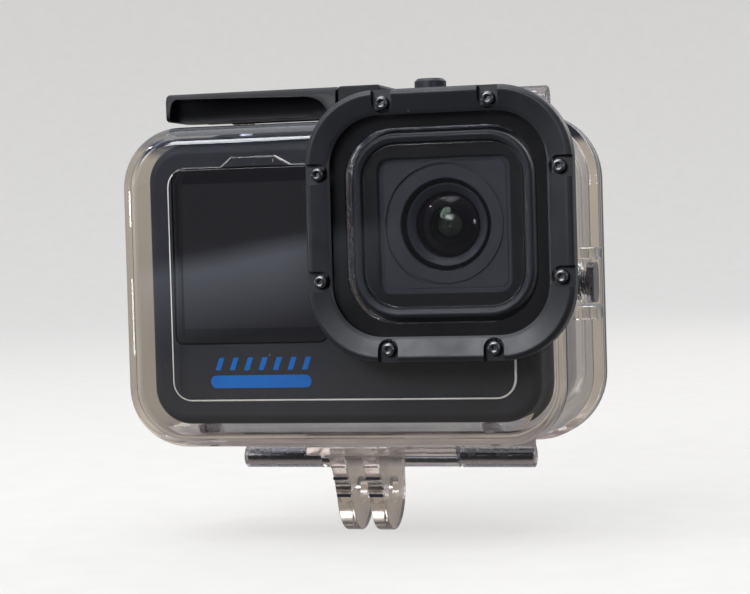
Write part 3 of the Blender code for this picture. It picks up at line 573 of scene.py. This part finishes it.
def combine(target, tool, operation):
    modifier = target.modifiers.new(operation.lower(), "BOOLEAN")
    modifier.operation = operation
    modifier.solver = "EXACT"
    modifier.object = tool
    graph = bpy.context.evaluated_depsgraph_get()
    graph.update()
    result = bpy.data.meshes.new_from_object(target.evaluated_get(graph))
    target.modifiers.remove(modifier)
    target.data = result
    finish_mesh(result)
    bpy.data.objects.remove(tool, do_unlink=True)
    return target


def join(target, *tools):
    for tool in tools:
        combine(target, tool, "UNION")
    return target


def cut(target, *tools):
    for tool in tools:
        combine(target, tool, "DIFFERENCE")
    return target


def soften(solid, width, segments=2, angle=35.0, keep=None):
    """Round the sharp edges of a solid, before any boolean touches it."""
    bm = bmesh.new()
    bm.from_mesh(solid.data)
    bmesh.ops.remove_doubles(bm, verts=bm.verts, dist=WELD)
    edges = []
    for edge in bm.edges:
        if len(edge.link_faces) == 2 and edge.calc_face_angle(0.0) > math.radians(angle):
            if keep is None or all(keep(v.co / MM) for v in edge.verts):
                edges.append(edge)
    bmesh.ops.bevel(bm, geom=edges, offset=width * MM, segments=segments, profile=0.5,
                    affect="EDGES", clamp_overlap=True)
    bm.to_mesh(solid.data)
    bm.free()
    finish_mesh(solid.data)
    return solid


def add_finishes(solid, *finishes):
    for finish in finishes:
        solid.data.materials.append(finish)


def choose_finish(solid, index, wanted):
    """Faces that are wanted take the finish with this index."""
    for face in solid.data.polygons:
        if wanted(face):
            face.material_index = index


def use_finish(tool, index, finish):
    """All faces of a tool take the finish with this index on the solid that it joins."""
    add_finishes(tool, *[finish] * (index + 1))
    choose_finish(tool, index, lambda face: True)
    return tool


def paint(solid, material, wanted):
    """Extra finish on the faces whose middle, in millimetres, is wanted."""
    add_finishes(solid, material)
    choose_finish(solid, len(solid.data.materials) - 1, lambda face: wanted(face.center / MM))


def sleeve(name, low, high, y, z, radius):
    """Bar along X with its ends chamfered, round a hinge pin."""
    return turned(name, "X", y, z, ((low, radius - 0.2), (low + 0.2, radius),
                                    (high - 0.2, radius), (high, radius - 0.2)))


def pin_bore(low, high, y, z):
    return turned("bore", "X", y, z, ((low, PIN_BORE), (high, PIN_BORE)), steps=32)


def place_piece(piece, body, slot, *nodes):
    flatten = piece.modifiers.new("flat_normals", "WEIGHTED_NORMAL")
    flatten.keep_sharp = True
    flatten.weight = 90
    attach(piece, body)
    if nodes:
        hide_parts(*nodes)
    return piece


# ---- housing ----

def window_outline():
    left, right, bottom, top, rise = -31.0, 32.3, 18.2, 60.4, 1.6
    corner = 3.6
    outline = arc(right - corner, top - corner, corner, 0, 90, 8)
    outline.extend(((-7.6, top), (-10.5, top + rise), (-18.6, top + rise), (-20.6, top)))
    outline.extend(arc(left + corner, top - corner, corner, 90, 180, 8))
    outline.extend(arc(left + corner, bottom + corner, corner, 180, 270, 8))
    outline.extend(arc(right - corner, bottom + corner, corner, 270, 360, 8))
    return outline


def button_cavity(axis, cu, cv, ceiling, inside, seat, outside):
    room, stem, recess = 3.2, 1.6, 2.6
    profile = ((inside, room), (ceiling, room), (ceiling, stem), (seat, stem), (seat, recess),
               (outside, recess))
    return turned("cavity", axis, cu, cv, profile, steps=32)


def build_shell(clear, painted_highlight, painted_shade_glass, shade):
    inner_front = SHELL_FRONT + 2.2
    profile = [*roll(inner_front, inner_front + 1.2, 3.2, WALL, 4), (SHELL_RIM, WALL),
               (SHELL_RIM, FLANGE), (10.5, FLANGE), (10.1, 0.0),
               *reversed(roll(SHELL_FRONT, SHELL_FRONT + 3.6, 3.6, 0.0, 9))]
    shell = swept("housing_shell", shell_outline, profile, clear)
    add_finishes(shell, painted_highlight, painted_shade_glass)
    soften(shell, 0.3, 2, 50.0)
    ceiling = SHELL_HIGH_Z - 2.0
    paint(shell, shade, lambda c: abs(c.z - ceiling) < 0.35 and abs(c.x) < SHELL_HALF - 6.0)
    window = prism("window", "Y", SHELL_FRONT - 0.4, SHELL_FRONT + 1.0, window_outline())
    soften(window, 0.32, 2, 50.0, keep=lambda c: c.y < SHELL_FRONT - 0.3)
    add_finishes(window, clear, painted_highlight, painted_shade_glass)
    # painted highlight: the step's sides take the pale edge finish
    choose_finish(window, 1, lambda face: abs(face.normal.y) < 0.95)
    # painted shade: the top of the step's sides takes the darker glass to dim its edge
    choose_finish(window, 2, lambda face: face.material_index == 1
                  and face.center.z / MM > 59.4 and abs(face.normal.x) < 0.3)
    port = swept("port", lens_square, ((PORT_FRONT, 23.2, 12.5), (PORT_FRONT + 1.5, 23.2, 12.5),
                                       (inner_front - 0.1, 20.5, 9.8)))
    soften(port, 0.25, 2, 50.0)
    bosses = [turned("boss", "Z", SHUTTER_X, BUTTON_Y, ((66.2, 3.6), (69.0, 3.6), (69.2, 3.4))),
              turned("boss", "X", BUTTON_Y, MODE_Z, ((39.2, 3.6), (41.0, 3.6), (41.2, 3.4)))]
    for low, high in ((4.1, 6.3), (-6.6, -4.1)):
        guard = block("guard", (39.4, BUTTON_Y - 4.5, MODE_Z + low),
                      (SHELL_BOX_HIGH[0], BUTTON_Y + 4.5, MODE_Z + high))
        bosses.append(soften(guard, 0.4, 3))
    web = prism("web", "X", -13.3, 13.7, ((10.7, 9.0), (13.5, 9.0), (13.5, 6.4), (HINGE_Y, 6.4),
                                         (HINGE_Y, 2.9), (13.0, 2.9), (10.7, 6.0)))
    knuckle = sleeve("knuckle", -13.3, 13.7, HINGE_Y, HINGE_Z, 2.2)
    ribs = []
    for x, lean in ((-28.6, 1.2), (24.6, 0.9)):
        outline = ((x, SHELL_LOW_Z + 3.7), (x + 1.6, SHELL_LOW_Z + 3.7),
                   (x + 1.6 + lean, SHELL_LOW_Z + 1.0), (x + lean, SHELL_LOW_Z + 1.0))
        # painted shade: the ribs take the darker glass
        ribs.append(use_finish(prism("rib", "Y", -14.0, -6.0, outline), 2, painted_shade_glass))
    slot = block("slot", (-15.4, SHELL_FRONT + 1.2, 60.7), (-11.4, SHELL_FRONT + 2.9, 61.5),
                 None, 0.35)
    join(shell, window, port, *bosses, web, knuckle, *ribs, slot)
    tunnel = prism("tunnel", "Y", PORT_FRONT - 1.0, inner_front + 0.8, lens_square(17.0, 8.6))
    # painted shade: the tunnel walls take the darker glass, and its upper left wall the pale
    # painted highlight
    use_finish(soften(tunnel, 0.01), 2, painted_shade_glass)
    choose_finish(tunnel, 1, lambda face: face.center.x / MM < LENS_X - 12.0
                  and face.center.z / MM > LENS_Z - 13.0)
    cutters = [tunnel]
    for x, z in SCREW_PLACES:
        cutters.append(turned("hole", "Y", x, z, ((PORT_FRONT - 1.0, SCREW_HOLE),
                                                  (-20.2, SCREW_HOLE)), steps=20))
    cutters.append(button_cavity("Z", SHUTTER_X, BUTTON_Y, 66.9, 64.9, 67.6, 70.0))
    cutters.append(button_cavity("X", BUTTON_Y, MODE_Z, 39.7, 37.8, 40.2, 42.0))
    cutters.append(pin_bore(-14.3, 14.7, HINGE_Y, HINGE_Z))
    cut(shell, *cutters)
    place_piece(shell, "housing", "clear_polycarbonate", "front_shell")


def build_door(clear, painted_shade_glass):
    front = SHELL_RIM + 0.3
    back = front + 2.4
    profile = [(front + 0.3, 5.7), (front - 2.4, 5.4), (front - 2.4, 3.7), (front, 3.7),
               (front, FLANGE), *roll(back - 0.5, back, FLANGE, FLANGE + 0.5, 3, False),
               (back, 4.0), (back + 0.7, 4.8), (back + 1.0, 5.5)]
    door = soften(swept("housing_door", shell_outline, profile, clear), 0.2, 2, 50.0)
    # painted shade: webs, knuckles and lugs take the darker copy of the clear plastic
    add_finishes(door, painted_shade_glass)
    for low, high in ((-29.5, -13.6), (14.0, 28.2)):
        web = block("web", (low, front + 0.05, HINGE_Z), (high, back - 0.1, 9.6))
        knuckle = sleeve("knuckle", low, high, HINGE_Y, HINGE_Z, 2.2)
        join(door, use_finish(soften(web, 0.3, 2), 1, painted_shade_glass), use_finish(knuckle, 1, painted_shade_glass))
        cut(door, pin_bore(low - 1, high + 1, HINGE_Y, HINGE_Z))
    outline = [(LATCH_Y - 2.1, 66.0), (LATCH_Y - 0.3, 66.0), (LATCH_Y + 2.2, 69.0)]
    outline.extend(arc(LATCH_Y, LATCH_Z, 2.2, 0, 180, 16))
    for low, high in ((-30.0, -27.0), (25.9, 32.3)):
        lug = soften(prism("lug", "X", low, high, outline), 0.3, 2, 50.0)
        join(door, use_finish(lug, 1, painted_shade_glass))
    cut(door, pin_bore(-31.0, 30.2, LATCH_Y, LATCH_Z))
    place_piece(door, "door", "clear_polycarbonate", "back_door")


def build_fingers(clear, painted_shade_glass, groove):
    top = span("finger_mount")[1][2]
    base = soften(block("mount_fingers", (-8.0, -15.0, 7.8), (8.0, 8.6, top), clear), 0.3, 2)
    add_finishes(base, painted_shade_glass, groove)
    radius = 7.5
    profile = [(-14.5, top - 0.5), (-11.6, top - 3.0), (-9.3, 3.0)]
    profile.extend(arc(0.0, 0.0, radius, 190, 360, 32))
    profile.append((radius, top - 0.5))
    for low, high in ((-4.6, -1.55), (1.55, 4.6)):
        finger = soften(prism("finger", "X", low, high, profile), 0.28, 2, 60.0)
        join(base, finger)
        # painted shade: ridges take the darker glass, the deep ones the dark groove finish, in
        # place of stripes of shade
        for z, thick in ((6.7, 0.5), (5.2, 0.35), (2.9, 0.5), (-0.5, 0.55), (-3.3, 0.35)):
            reach = -9.9 - 0.55 * (z - 2.0) if z > 2.0 else -math.sqrt(radius ** 2 - z ** 2) - 0.3
            if -1.3 < z < 2.0:
                reach = -8.25
            ridge = block("ridge", (low + 0.25, reach, z), (high - 0.25, reach + 1.6, z + thick))
            deep = z in (2.9, -0.5)
            join(base, use_finish(ridge, 2 if deep else 1, groove if deep else painted_shade_glass))
    bore = turned("bore", "X", 0.0, 0.0, ((-6.0, 2.5), (6.0, 2.5)))
    cut(base, bore)
    place_piece(base, "housing", "clear_polycarbonate", "finger_mount")


# ---- lens port ----

def screw_pocket(x, z):
    radius = 1.8
    reach = 4.0
    across, along = x - LENS_X, z - LENS_Z
    out_x = math.copysign(1, across) if abs(across) > abs(along) else 0
    out_z = 0 if out_x else math.copysign(1, along)
    front, floor = BEZEL_FRONT - 1.0, BEZEL_FRONT + 1.3
    low_x = x - radius * abs(out_z) + min(0.0, out_x * reach)
    high_x = x + radius * abs(out_z) + max(0.0, out_x * reach)
    low_z = z - radius * abs(out_x) + min(0.0, out_z * reach)
    high_z = z + radius * abs(out_x) + max(0.0, out_z * reach)
    seat = turned("seat", "Y", x, z, ((front, radius + 0.25), (BEZEL_FRONT + 0.15, radius + 0.05),
                                      (BEZEL_FRONT + 0.4, radius), (floor, radius)), steps=40)
    slot = block("slot", (low_x, front, low_z), (high_x, floor, high_z))
    hole = turned("hole", "Y", x, z, ((floor - 0.5, SCREW_HOLE), (PORT_FRONT + 0.5, SCREW_HOLE)),
                  steps=20)
    return join(seat, slot), hole


def build_bezel(material):
    half, radius = BEZEL_HALF, 12.9
    rim = [(y, half - i, radius - i)
           for y, i in roll(BEZEL_FRONT + 1.0, BEZEL_FRONT, 0.0, 0.9, 6, False)]
    lip, opening = -24.7, 19.2
    bezel = swept("bezel_ring", lens_square, (
        (BEZEL_BACK, half, radius), *rim, (BEZEL_FRONT + 0.05, half - 1.2, radius - 1.2),
        (BEZEL_FRONT + 0.62, opening + 0.8, 9.8), (BEZEL_FRONT + 0.75, opening + 0.35, 9.35),
        (BEZEL_FRONT + 1.0, opening, 9.0), (lip, opening, 9.0), (lip, 20.2, 9.9),
        (BEZEL_BACK, 20.2, 9.9)), material, closed=True)
    for x, z in SCREW_PLACES:
        cut(bezel, *screw_pocket(x, z))
    place_piece(bezel, "housing", "satin_black", "port_bezel")


def build_screws(material):
    front = BEZEL_FRONT + 0.1
    for index, (x, z) in enumerate(SCREW_PLACES, start=1):
        profile = [(front, 0.60), (front - 0.02, 0.72),
                   *roll(front - 0.02, front + 0.45, 0.72, 1.2, 5),
                   (front + 0.9, 1.2), (front + 0.9, 0.65)]
        for turn in range(6):
            y = front + 1.1 + 0.7 * turn
            profile += [(y, 0.55), (y + 0.35, 0.68)]
        sections = [(front + 0.7, lobes(x, z, 0.38, 0.46, SCREW_STEPS)),
                    (front + 0.12, lobes(x, z, 0.40, 0.50, SCREW_STEPS))]
        sections += [(y, circle(x, z, radius, SCREW_STEPS))
                     for y, radius in (*profile, (-20.5, 0.5))]
        screw = loft(f"socket_screw_{index}", "Y", sections, material)
        place_piece(screw, "housing", "steel", f"bezel_screw_{index}")


# ---- latch ----

def build_latch(material, recess_shade):
    left, front, top = LEVER_LOW[0], LEVER_LOW[1], LEVER_HIGH[2]
    split = LOCK_LOW[0] - 0.3
    grip_outline = [(13.6, top), (front + 1.5, top), (front + 0.5, top - 0.35),
                    (front, top - 1.3), (front, 69.9), (front + 0.3, 69.5), (front + 1.0, 69.3),
                    (0.5, 69.3), (5.0, 69.5), (10.0, 69.9), (13.6, 69.9)]
    lever = soften(prism("latch_handle", "X", left, split, grip_outline, material), 0.35, 3, 28.0)
    lug_end = -27.0 + 0.3
    bar_outline = ((LATCH_Y, top - 0.15), (3.5, top - 0.15), (3.5, 69.1), (5.0, 69.4), (10.0, 70.0),
                   (14.0, 70.0), (LATCH_Y, 70.8))
    right = LEVER_HIGH[0]
    bar = prism("bar", "X", lug_end, right, bar_outline)
    join(lever, soften(bar, 0.25, 2, 50.0), sleeve("barrel", lug_end, right, LATCH_Y, LATCH_Z, 1.9))
    recess_start, recess_end = left + 2.1, split - 6.4
    turns = [math.radians(86 * step / 12) for step in range(1, 13)]
    profile = [(recess_start - 1.4 * math.sin(a), 3.9 * math.cos(a)) for a in reversed(turns)]
    profile += [(recess_start, 3.9), (recess_end, 3.3)]
    profile += [(recess_end + 4.6 * math.sin(a), 3.3 * math.cos(a)) for a in turns]
    recess = turned("recess", "X", front - 0.6, 69.6, profile)
    slot = block("slot", (split, 3.0, 71.2), (LOCK_HIGH[0] + 2.6, 6.3, 73.0))
    # painted shade: the recess faces take the darker matte black seal finish
    add_finishes(recess, material, recess_shade)
    choose_finish(recess, 1, lambda face: True)
    cut(lever, recess, slot, pin_bore(-27.0, right + 1.0, LATCH_Y, LATCH_Z))
    place_piece(lever, "latch", "satin_black", "latch_lever")
    lock = block("lock_slider", (LOCK_LOW[0], front, 69.3), (LOCK_HIGH[0], 3.2, top), material, 0.6)
    soften(lock, 0.25, 2, 50.0)
    tongue = block("tongue", (LOCK_LOW[0], 2.0, 71.5), (LOCK_HIGH[0] - 0.2, 6.0, 72.7))
    join(lock, tongue)
    for step in range(4):
        ridge_x = LOCK_LOW[0] + 2.0 + 1.2 * step
        groove = block("groove", (ridge_x, front + 2.0, top - 0.3), (ridge_x + 0.5, 1.6, top + 0.5))
        cut(lock, groove)
    place_piece(lock, "lock", "satin_black", "latch_lock")


# ---- camera ----

def case_half(name, face, split, screen, material):
    """Half of the case from its outer face to the split, and the cutters for its screen."""
    inward = math.copysign(1.0, split - face)
    profile = [(face + 1.6 * inward, 2.4), (face + 2.2 * inward, 1.6), (split, 1.6),
               (split, 0.25), (split - 0.25 * inward, 0.0),
               *reversed(roll(face, face + 1.9 * inward, 1.9, 0.0, 8))]
    left, right, low, high = screen
    pocket = prism("pocket", "Y", *sorted((face - inward, face + 1.1 * inward)),
                   rounded_box(left, right, low, high, 1.5, 8))
    near, far = sorted((face, face + 3.0 * inward))
    view = block("view", (left + 2, near, low + 2), (right - 2, far, high - 2))
    return swept(name, case_outline, profile, material), [pocket, view]


def build_cases(material):
    front, split = CASE_LOW[1], CASE_HIGH[1]
    case, screen_cutters = case_half("camera_body_front", front, split, SCREEN, material)
    join(case, block("tray", (-16.5, -15.8, 15.0), (16.5, 2.8, 17.6)))
    cut(case, block("tray_gap", (-14.8, -14.3, 13.0), (14.8, 1.3, 16.3)), *screen_cutters,
        turned("hole", "Y", LENS_X, LENS_Z, ((front - 1, 10.7), (front + 3, 10.7))),
        turned("hole", "Z", SHUTTER_X, BUTTON_Y, ((62, 4.5), (66, 4.5))),
        turned("hole", "X", BUTTON_Y, MODE_Z, ((33, 3.3), (37, 3.3))),
        prism("hole", "X", -37, -33, rounded_box(-13.3, 1.3, 20.7, 57.3, 2.3, 8)))
    place_piece(case, "housing", "charcoal_rubber", "camera_front_case")
    rear, screen_cutters = case_half("camera_body_rear", REAR_HIGH[1], REAR_LOW[1], REAR_SCREEN,
                                     material)
    cut(rear, *screen_cutters)
    place_piece(rear, "housing", "charcoal_rubber", "camera_rear_case")


def screen_box(node, margin):
    low, high = span(node)
    return low[0] - margin, high[0] + margin, low[2] - margin, high[2] + margin


SCREEN = screen_box("camera_front_glass", 0.3)
REAR_SCREEN = screen_box("camera_rear_glass", 0.3)


def build_screens():
    for name, node, inset in (("front_screen_glass", "camera_front_glass", (1.6, 2.6)),
                              ("rear_screen_glass", "camera_rear_glass", (2.2, 2.2))):
        low, high = span(node)
        panel_low = ((low[0] + inset[0]) * MM, (low[2] + inset[1]) * MM)
        panel_high = ((high[0] - inset[0]) * MM, (high[2] - inset[1]) * MM)
        surface = make_screen(name + "_surface", panel_low, panel_high)
        glass = prism(name, "Y", low[1], high[1],
                      rounded_box(low[0], high[0], low[2], high[2], 1.2, 8), surface)
        soften(glass, 0.12, 2, 50.0)
        place_piece(glass, "housing", "dark_glass", node)


def build_mark(material):
    """A generic printed mark: a row of slanted strokes over one plain bar."""
    left, right, low = -24.6, -5.6, 20.4
    y_back, y_front = CASE_LOW[1] + 0.1, CASE_LOW[1] - 0.04
    bar = rounded_box(left, right, low, low + 2.3, 1.1, 8)
    mark = prism("printed_mark", "Y", y_front, y_back, bar, material)
    strokes = 7
    for step in range(strokes):
        x = left + 0.9 + step * (right - left - 2.6) / (strokes - 1)
        outline = ((x, low + 3.2), (x + 1.0, low + 3.2), (x + 1.8, low + 5.5), (x + 0.8, low + 5.5))
        join(mark, prism("stroke", "Y", y_front, y_back, outline))
    place_piece(mark, "housing", "printed_blue")


# ---- lens ----

def build_lens(finishes):
    back, front = COVER_HIGH[1], COVER_LOW[1]
    seat = -19.8
    half, radius = COVER_HALF, 8.0
    rim = [(y, half - i, radius - i) for y, i in roll(front + 0.8, front, 0.0, 0.7, 5, False)]
    ring = swept("cover_ring", lens_square, (
        (back, 16.7, 8.3), (back - 1.1, 16.7, 8.3), (back - 1.1, half, radius), *rim,
        (front + 0.05, 15.1, 7.0), (front + 0.45, 14.6, 6.5), (seat, 14.5, 6.4),
        (seat, 13.2, 5.1), (back, 13.2, 5.1)), finishes["dark_grey"], closed=True)
    place_piece(ring, "housing", "dark_grey", "lens_cover_frame")
    glass = prism("cover_glass", "Y", -21.3, -20.1, lens_square(14.2, 6.1), finishes["port_glass"])
    place_piece(soften(glass, 0.15, 2, 50.0), "housing", "port_glass", "lens_cover_glass")
    border = swept("cover_border", lens_square, (
        (-20.02, 14.1, 6.0), (-19.86, 14.1, 6.0), (-19.86, 11.9, 2.3), (-20.02, 11.9, 2.3)),
        finishes["border"], closed=True)
    place_piece(border, "housing", "black_seal")
    plate = swept("lens_plate", lens_square, (
        (-19.0, 13.0, 4.9), (-18.8, 13.0, 4.9), (-18.8, 10.8, 10.4), (-19.0, 10.8, 10.4),
        (-19.0, 11.0, 1.6), (-18.93, 11.08, 1.65), (-18.93, 11.2, 1.7), (-19.0, 11.28, 1.75)),
        finishes["barrel"], closed=True)
    place_piece(plate, "housing", "dark_grey")
    build_barrel(finishes)
    build_front_lens(finishes)


def lens_radius(point):
    return math.hypot(point.x - LENS_X, point.z - LENS_Z)


def build_barrel(finishes):
    """Flush face ring, a deep black groove, an inner ring and a black well for the front lens."""
    barrel = turned("lens_housing", "Y", LENS_X, LENS_Z, (
        (-18.55, 10.9), (-17.5, 10.9), (-17.5, 10.3), (-14.9, 10.3), (-14.9, 9.0), (-7.6, 9.0),
        (-7.6, 4.2), (-15.4, 4.2), (-15.4, 5.7), (-16.5, 5.72), (-16.9, 5.95), (-17.5, 6.85),
        (-17.62, 7.1), (-17.55, 7.28), (-17.2, 7.35), (-16.5, 7.38), (-16.5, 7.95), (-18.3, 8.02),
        (-18.62, 8.08), (-18.74, 8.22), (-18.78, 10.2), (-18.74, 10.27), (-18.55, 10.3)),
        finishes["barrel"], closed=True, steps=96)
    paint(barrel, finishes["lens_black"], lambda c: 7.3 < lens_radius(c) < 8.0 and c.y > -18.4)
    paint(barrel, finishes["lens_black"], lambda c: lens_radius(c) < 5.7)
    place_piece(barrel, "housing", "satin_black", "lens_barrel")


def build_front_lens(finishes):
    edge, curve = 5.4, 10.5
    rise = math.asin(edge / curve)
    dome = [(-15.7, 5.3), (-16.5, edge)]
    for step in range(1, 15):
        angle = rise * (1 - step / 14.3)
        dome.append((-16.5 - curve * (math.cos(angle) - math.cos(rise)), curve * math.sin(angle)))
    front_element = turned("front_lens", "Y", LENS_X, LENS_Z, dome, finishes["pupil"], steps=96)
    paint(front_element, finishes["lens_rim"], lambda c: lens_radius(c) > 3.2)
    place_piece(front_element, "housing", "lens_glass", "lens_front_element")
    rear = turned("inner_optics", "Y", LENS_X, LENS_Z, (
        (-9.0, 3.6), (-15.0, 4.0), (-15.0, 3.1), (-15.3, 3.0), (-15.3, 2.86), (-14.9, 2.7),
        (-14.7, 2.1), (-15.0, 2.0), (-15.05, 1.86), (-14.9, 1.7), (-15.05, 1.1), (-15.1, 0.5),
        (-14.9, 0.4), (-14.85, 0.15)), finishes["optics"])
    paint(rear, finishes["lens_black"],
          lambda c: 3.1 < lens_radius(c) or 2.05 < lens_radius(c) < 2.8)
    place_piece(rear, "housing", "lens_glass", "lens_rear_group")


def smooth_group():
    """Welds a faceted CAD node and shades it smooth up to a corner angle, without changing it."""
    group = bpy.data.node_groups.new("smooth_corners", "GeometryNodeTree")
    for direction in ("INPUT", "OUTPUT"):
        group.interface.new_socket("Geometry", in_out=direction, socket_type="NodeSocketGeometry")
    start = add_node(group, "NodeGroupInput")
    weld = add_node(group, "GeometryNodeMergeByDistance", {
        "Geometry": start.outputs[0], "Distance": WELD})
    smooth = add_node(group, "GeometryNodeSetShadeSmooth", {"Geometry": weld.outputs[0]})
    angle = add_node(group, "GeometryNodeInputMeshEdgeAngle")
    wide = add_node(group, "FunctionNodeCompare", {
        "A": angle.outputs["Unsigned Angle"], "B": SMOOTH_ANGLE},
        data_type="FLOAT", operation="GREATER_THAN")
    sharp = add_node(group, "GeometryNodeSetShadeSmooth", {
        "Geometry": smooth.outputs[0], "Selection": wide.outputs[0], "Shade Smooth": False},
        domain="EDGE")
    add_node(group, "NodeGroupOutput", {0: sharp.outputs[0]})
    return group


def finish_cad_nodes(finishes):
    """Every CAD node still shown gets its procedural finish and smooth corners."""
    chosen = {row["node"]: row["material_slot"] for row in frame["record"]["subparts"]}
    group = smooth_group()
    for name, node in frame["nodes"].items():
        if node.hide_render:
            continue
        material = finishes.get(name) or finishes[chosen[name]]
        node.data.materials.clear()
        node.data.materials.append(material)
        modifier = node.modifiers.new("smooth_corners", "NODES")
        modifier.node_group = group
        bevel = node.modifiers.new("soft_edges", "BEVEL")
        bevel.width = 0.06 * MM
        bevel.segments = 2
        bevel.limit_method = "ANGLE"
        bevel.angle_limit = math.radians(50)


# slot or use: name, dark and light colour, lowest and highest roughness, then options
SURFACES = {
    # painted highlight: pale, faintly glowing finish for the window step's sides and the tunnel's
    # upper left wall, in place of bright refraction lines
    "painted_edge_light": ("painted_edge_light_look", (0.46, 0.43, 0.40), (0.66, 0.62, 0.57), 0.25, 0.4,
                     {"glow": 0.10}),
    "display_panel": ("display_look", (0.012, 0.012, 0.016), (0.020, 0.020, 0.026), 0.2, 0.3, {}),
    "satin_black": ("satin_black_look", (0.012, 0.013, 0.017), (0.017, 0.018, 0.023), 0.34, 0.44,
                    {"grain": 15000.0, "bump": 0.08, "specks": 0.01, "specular": 0.42}),
    "charcoal_rubber": ("charcoal_look", (0.015, 0.017, 0.024), (0.020, 0.022, 0.030), 0.55, 0.66,
                        {"grain": 16000.0, "bump": 0.05, "specks": 0.02, "specular": 0.22}),
    "dark_grey": ("dark_grey_look", (0.018, 0.020, 0.027), (0.024, 0.026, 0.034), 0.38, 0.48,
                  {"grain": 15000.0, "specular": 0.35}),
    "black_seal": ("seal_look", (0.003, 0.003, 0.004), (0.006, 0.006, 0.007), 0.55, 0.7,
                   {"bump": 0.03, "specular": 0.14}),
    "lens_black": ("lens_black_look", (0.003, 0.002, 0.005), (0.006, 0.004, 0.009), 0.4, 0.55,
                   {"bump": 0.02, "specular": 0.06}),
    "border": ("border_look", (0.006, 0.006, 0.008), (0.009, 0.009, 0.011), 0.4, 0.5,
               {"specular": 0.15}),
    "barrel": ("barrel_look", (0.023, 0.025, 0.037), (0.029, 0.031, 0.045), 0.42, 0.52,
               {"grain": 15000.0, "specular": 0.35}),
    "optics": ("optics_look", (0.012, 0.015, 0.015), (0.110, 0.125, 0.110), 0.12, 0.2,
               {"coat": 0.4}),
    "steel": ("steel_look", (0.10, 0.10, 0.11), (0.16, 0.16, 0.17), 0.22, 0.34,
              {"grain": 3000.0, "bump": 0.2, "metallic": 1.0}),
    "aluminium": ("aluminium_look", (0.62, 0.63, 0.65), (0.70, 0.71, 0.73), 0.3, 0.42,
                  {"grain": 3000.0, "bump": 0.2, "metallic": 1.0}),
    "circuit_board": ("board_look", (0.02, 0.11, 0.06), (0.03, 0.15, 0.08), 0.4, 0.5, {}),
    "battery_wrap": ("battery_look", (0.10, 0.12, 0.19), (0.13, 0.15, 0.23), 0.45, 0.6, {}),
    "latch": ("latch_look", (0.005, 0.005, 0.007), (0.008, 0.008, 0.011), 0.38, 0.5,
              {"grain": 15000.0, "bump": 0.08, "specks": 0.01, "specular": 0.24}),
    "lens_rim": ("lens_rim_look", (0.0030, 0.0020, 0.0045), (0.0050, 0.0035, 0.0075), 0.20, 0.26,
                 {"bump": 0.0, "specular": 0.0, "coat": 0.7, "coat_rough": 0.03}),
    # painted shade: dark opaque bands on the deep finger ridges, in place of the fingers' dark
    # stripes
    "groove": ("finger_stripe_shade_look", (0.014, 0.015, 0.028), (0.022, 0.024, 0.042), 0.3, 0.45,
               {"bump": 0.03, "specular": 0.25}),
    "mark": ("mark_look", (0.003, 0.120, 0.45), (0.005, 0.140, 0.52), 0.50, 0.6,
             {"grain": 6000.0, "bump": 0.05, "specular": 0.12}),
}
# slot or use: name, tint, index of refraction, lowest and highest roughness, then options
GLASSES = {
    # the clear shell's top tint (its last option) is painted shade near its top edge
    "clear_polycarbonate": ("clear_polycarbonate_look", (0.965, 0.955, 0.94), 1.5, 0.005, 0.04,
                            {"wave": 0.01, "top_shade": (0.25, 0.27, 0.34)}),
    # painted shade: darker copy of the clear plastic for hinge knuckles, webs, lugs, ribs, finger
    # ridges, the tunnel and the window step's top, which are clear but look dark
    "painted_shade_glass": ("painted_shade_glass_look", (0.42, 0.40, 0.44), 1.5, 0.22, 0.38, {"wave": 0.02}),
    # painted shade: the fingers' tint is darker than the clear shell's
    "finger": ("finger_look", (0.74, 0.69, 0.65), 1.5, 0.10, 0.24, {"wave": 0.03}),
    "side_plunger": ("side_button_look", (0.10, 0.10, 0.12), 1.5, 0.08, 0.16, {}),
    "port_glass": ("cover_glass_look", (0.95, 0.95, 0.95), 1.45, 0.01, 0.03, {}),
    "door_seal": ("silicone_look", (0.80, 0.78, 0.75), 1.41, 0.35, 0.5, {}),
    "pupil": ("pupil_look", (0.46, 0.49, 0.46), 1.25, 0.03, 0.06,
              {"specular": 0.22, "sheen_tint": (0.80, 1.0, 0.88)}),
}


def build_finishes():
    finishes = {key: make_surface(*row, **options) for key, (*row, options) in SURFACES.items()}
    for key, (*row, options) in GLASSES.items():
        finishes[key] = make_glass(*row, **options)
    finishes["shade"] = make_shade("shaded_wall_look", (0.030, 0.034, 0.052),
                                   (0.042, 0.047, 0.068))
    return finishes


bpy.context.scene.view_settings.view_transform = "Standard"
light_paths = bpy.context.scene.cycles
light_paths.max_bounces = 24
light_paths.glossy_bounces = 12
light_paths.transmission_bounces = 20
light_paths.transparent_max_bounces = 32
FINISHES = build_finishes()
build_camera()
build_stage()
build_world()
build_lights()
build_shell(FINISHES["clear_polycarbonate"], FINISHES["painted_edge_light"], FINISHES["painted_shade_glass"],
            FINISHES["shade"])
build_door(FINISHES["clear_polycarbonate"], FINISHES["painted_shade_glass"])
build_fingers(FINISHES["finger"], FINISHES["painted_shade_glass"], FINISHES["groove"])
build_bezel(FINISHES["satin_black"])
build_screws(FINISHES["steel"])
build_latch(FINISHES["latch"], FINISHES["black_seal"])
build_cases(FINISHES["charcoal_rubber"])
build_screens()
build_mark(FINISHES["mark"])
build_lens(FINISHES)
finish_cad_nodes(FINISHES)
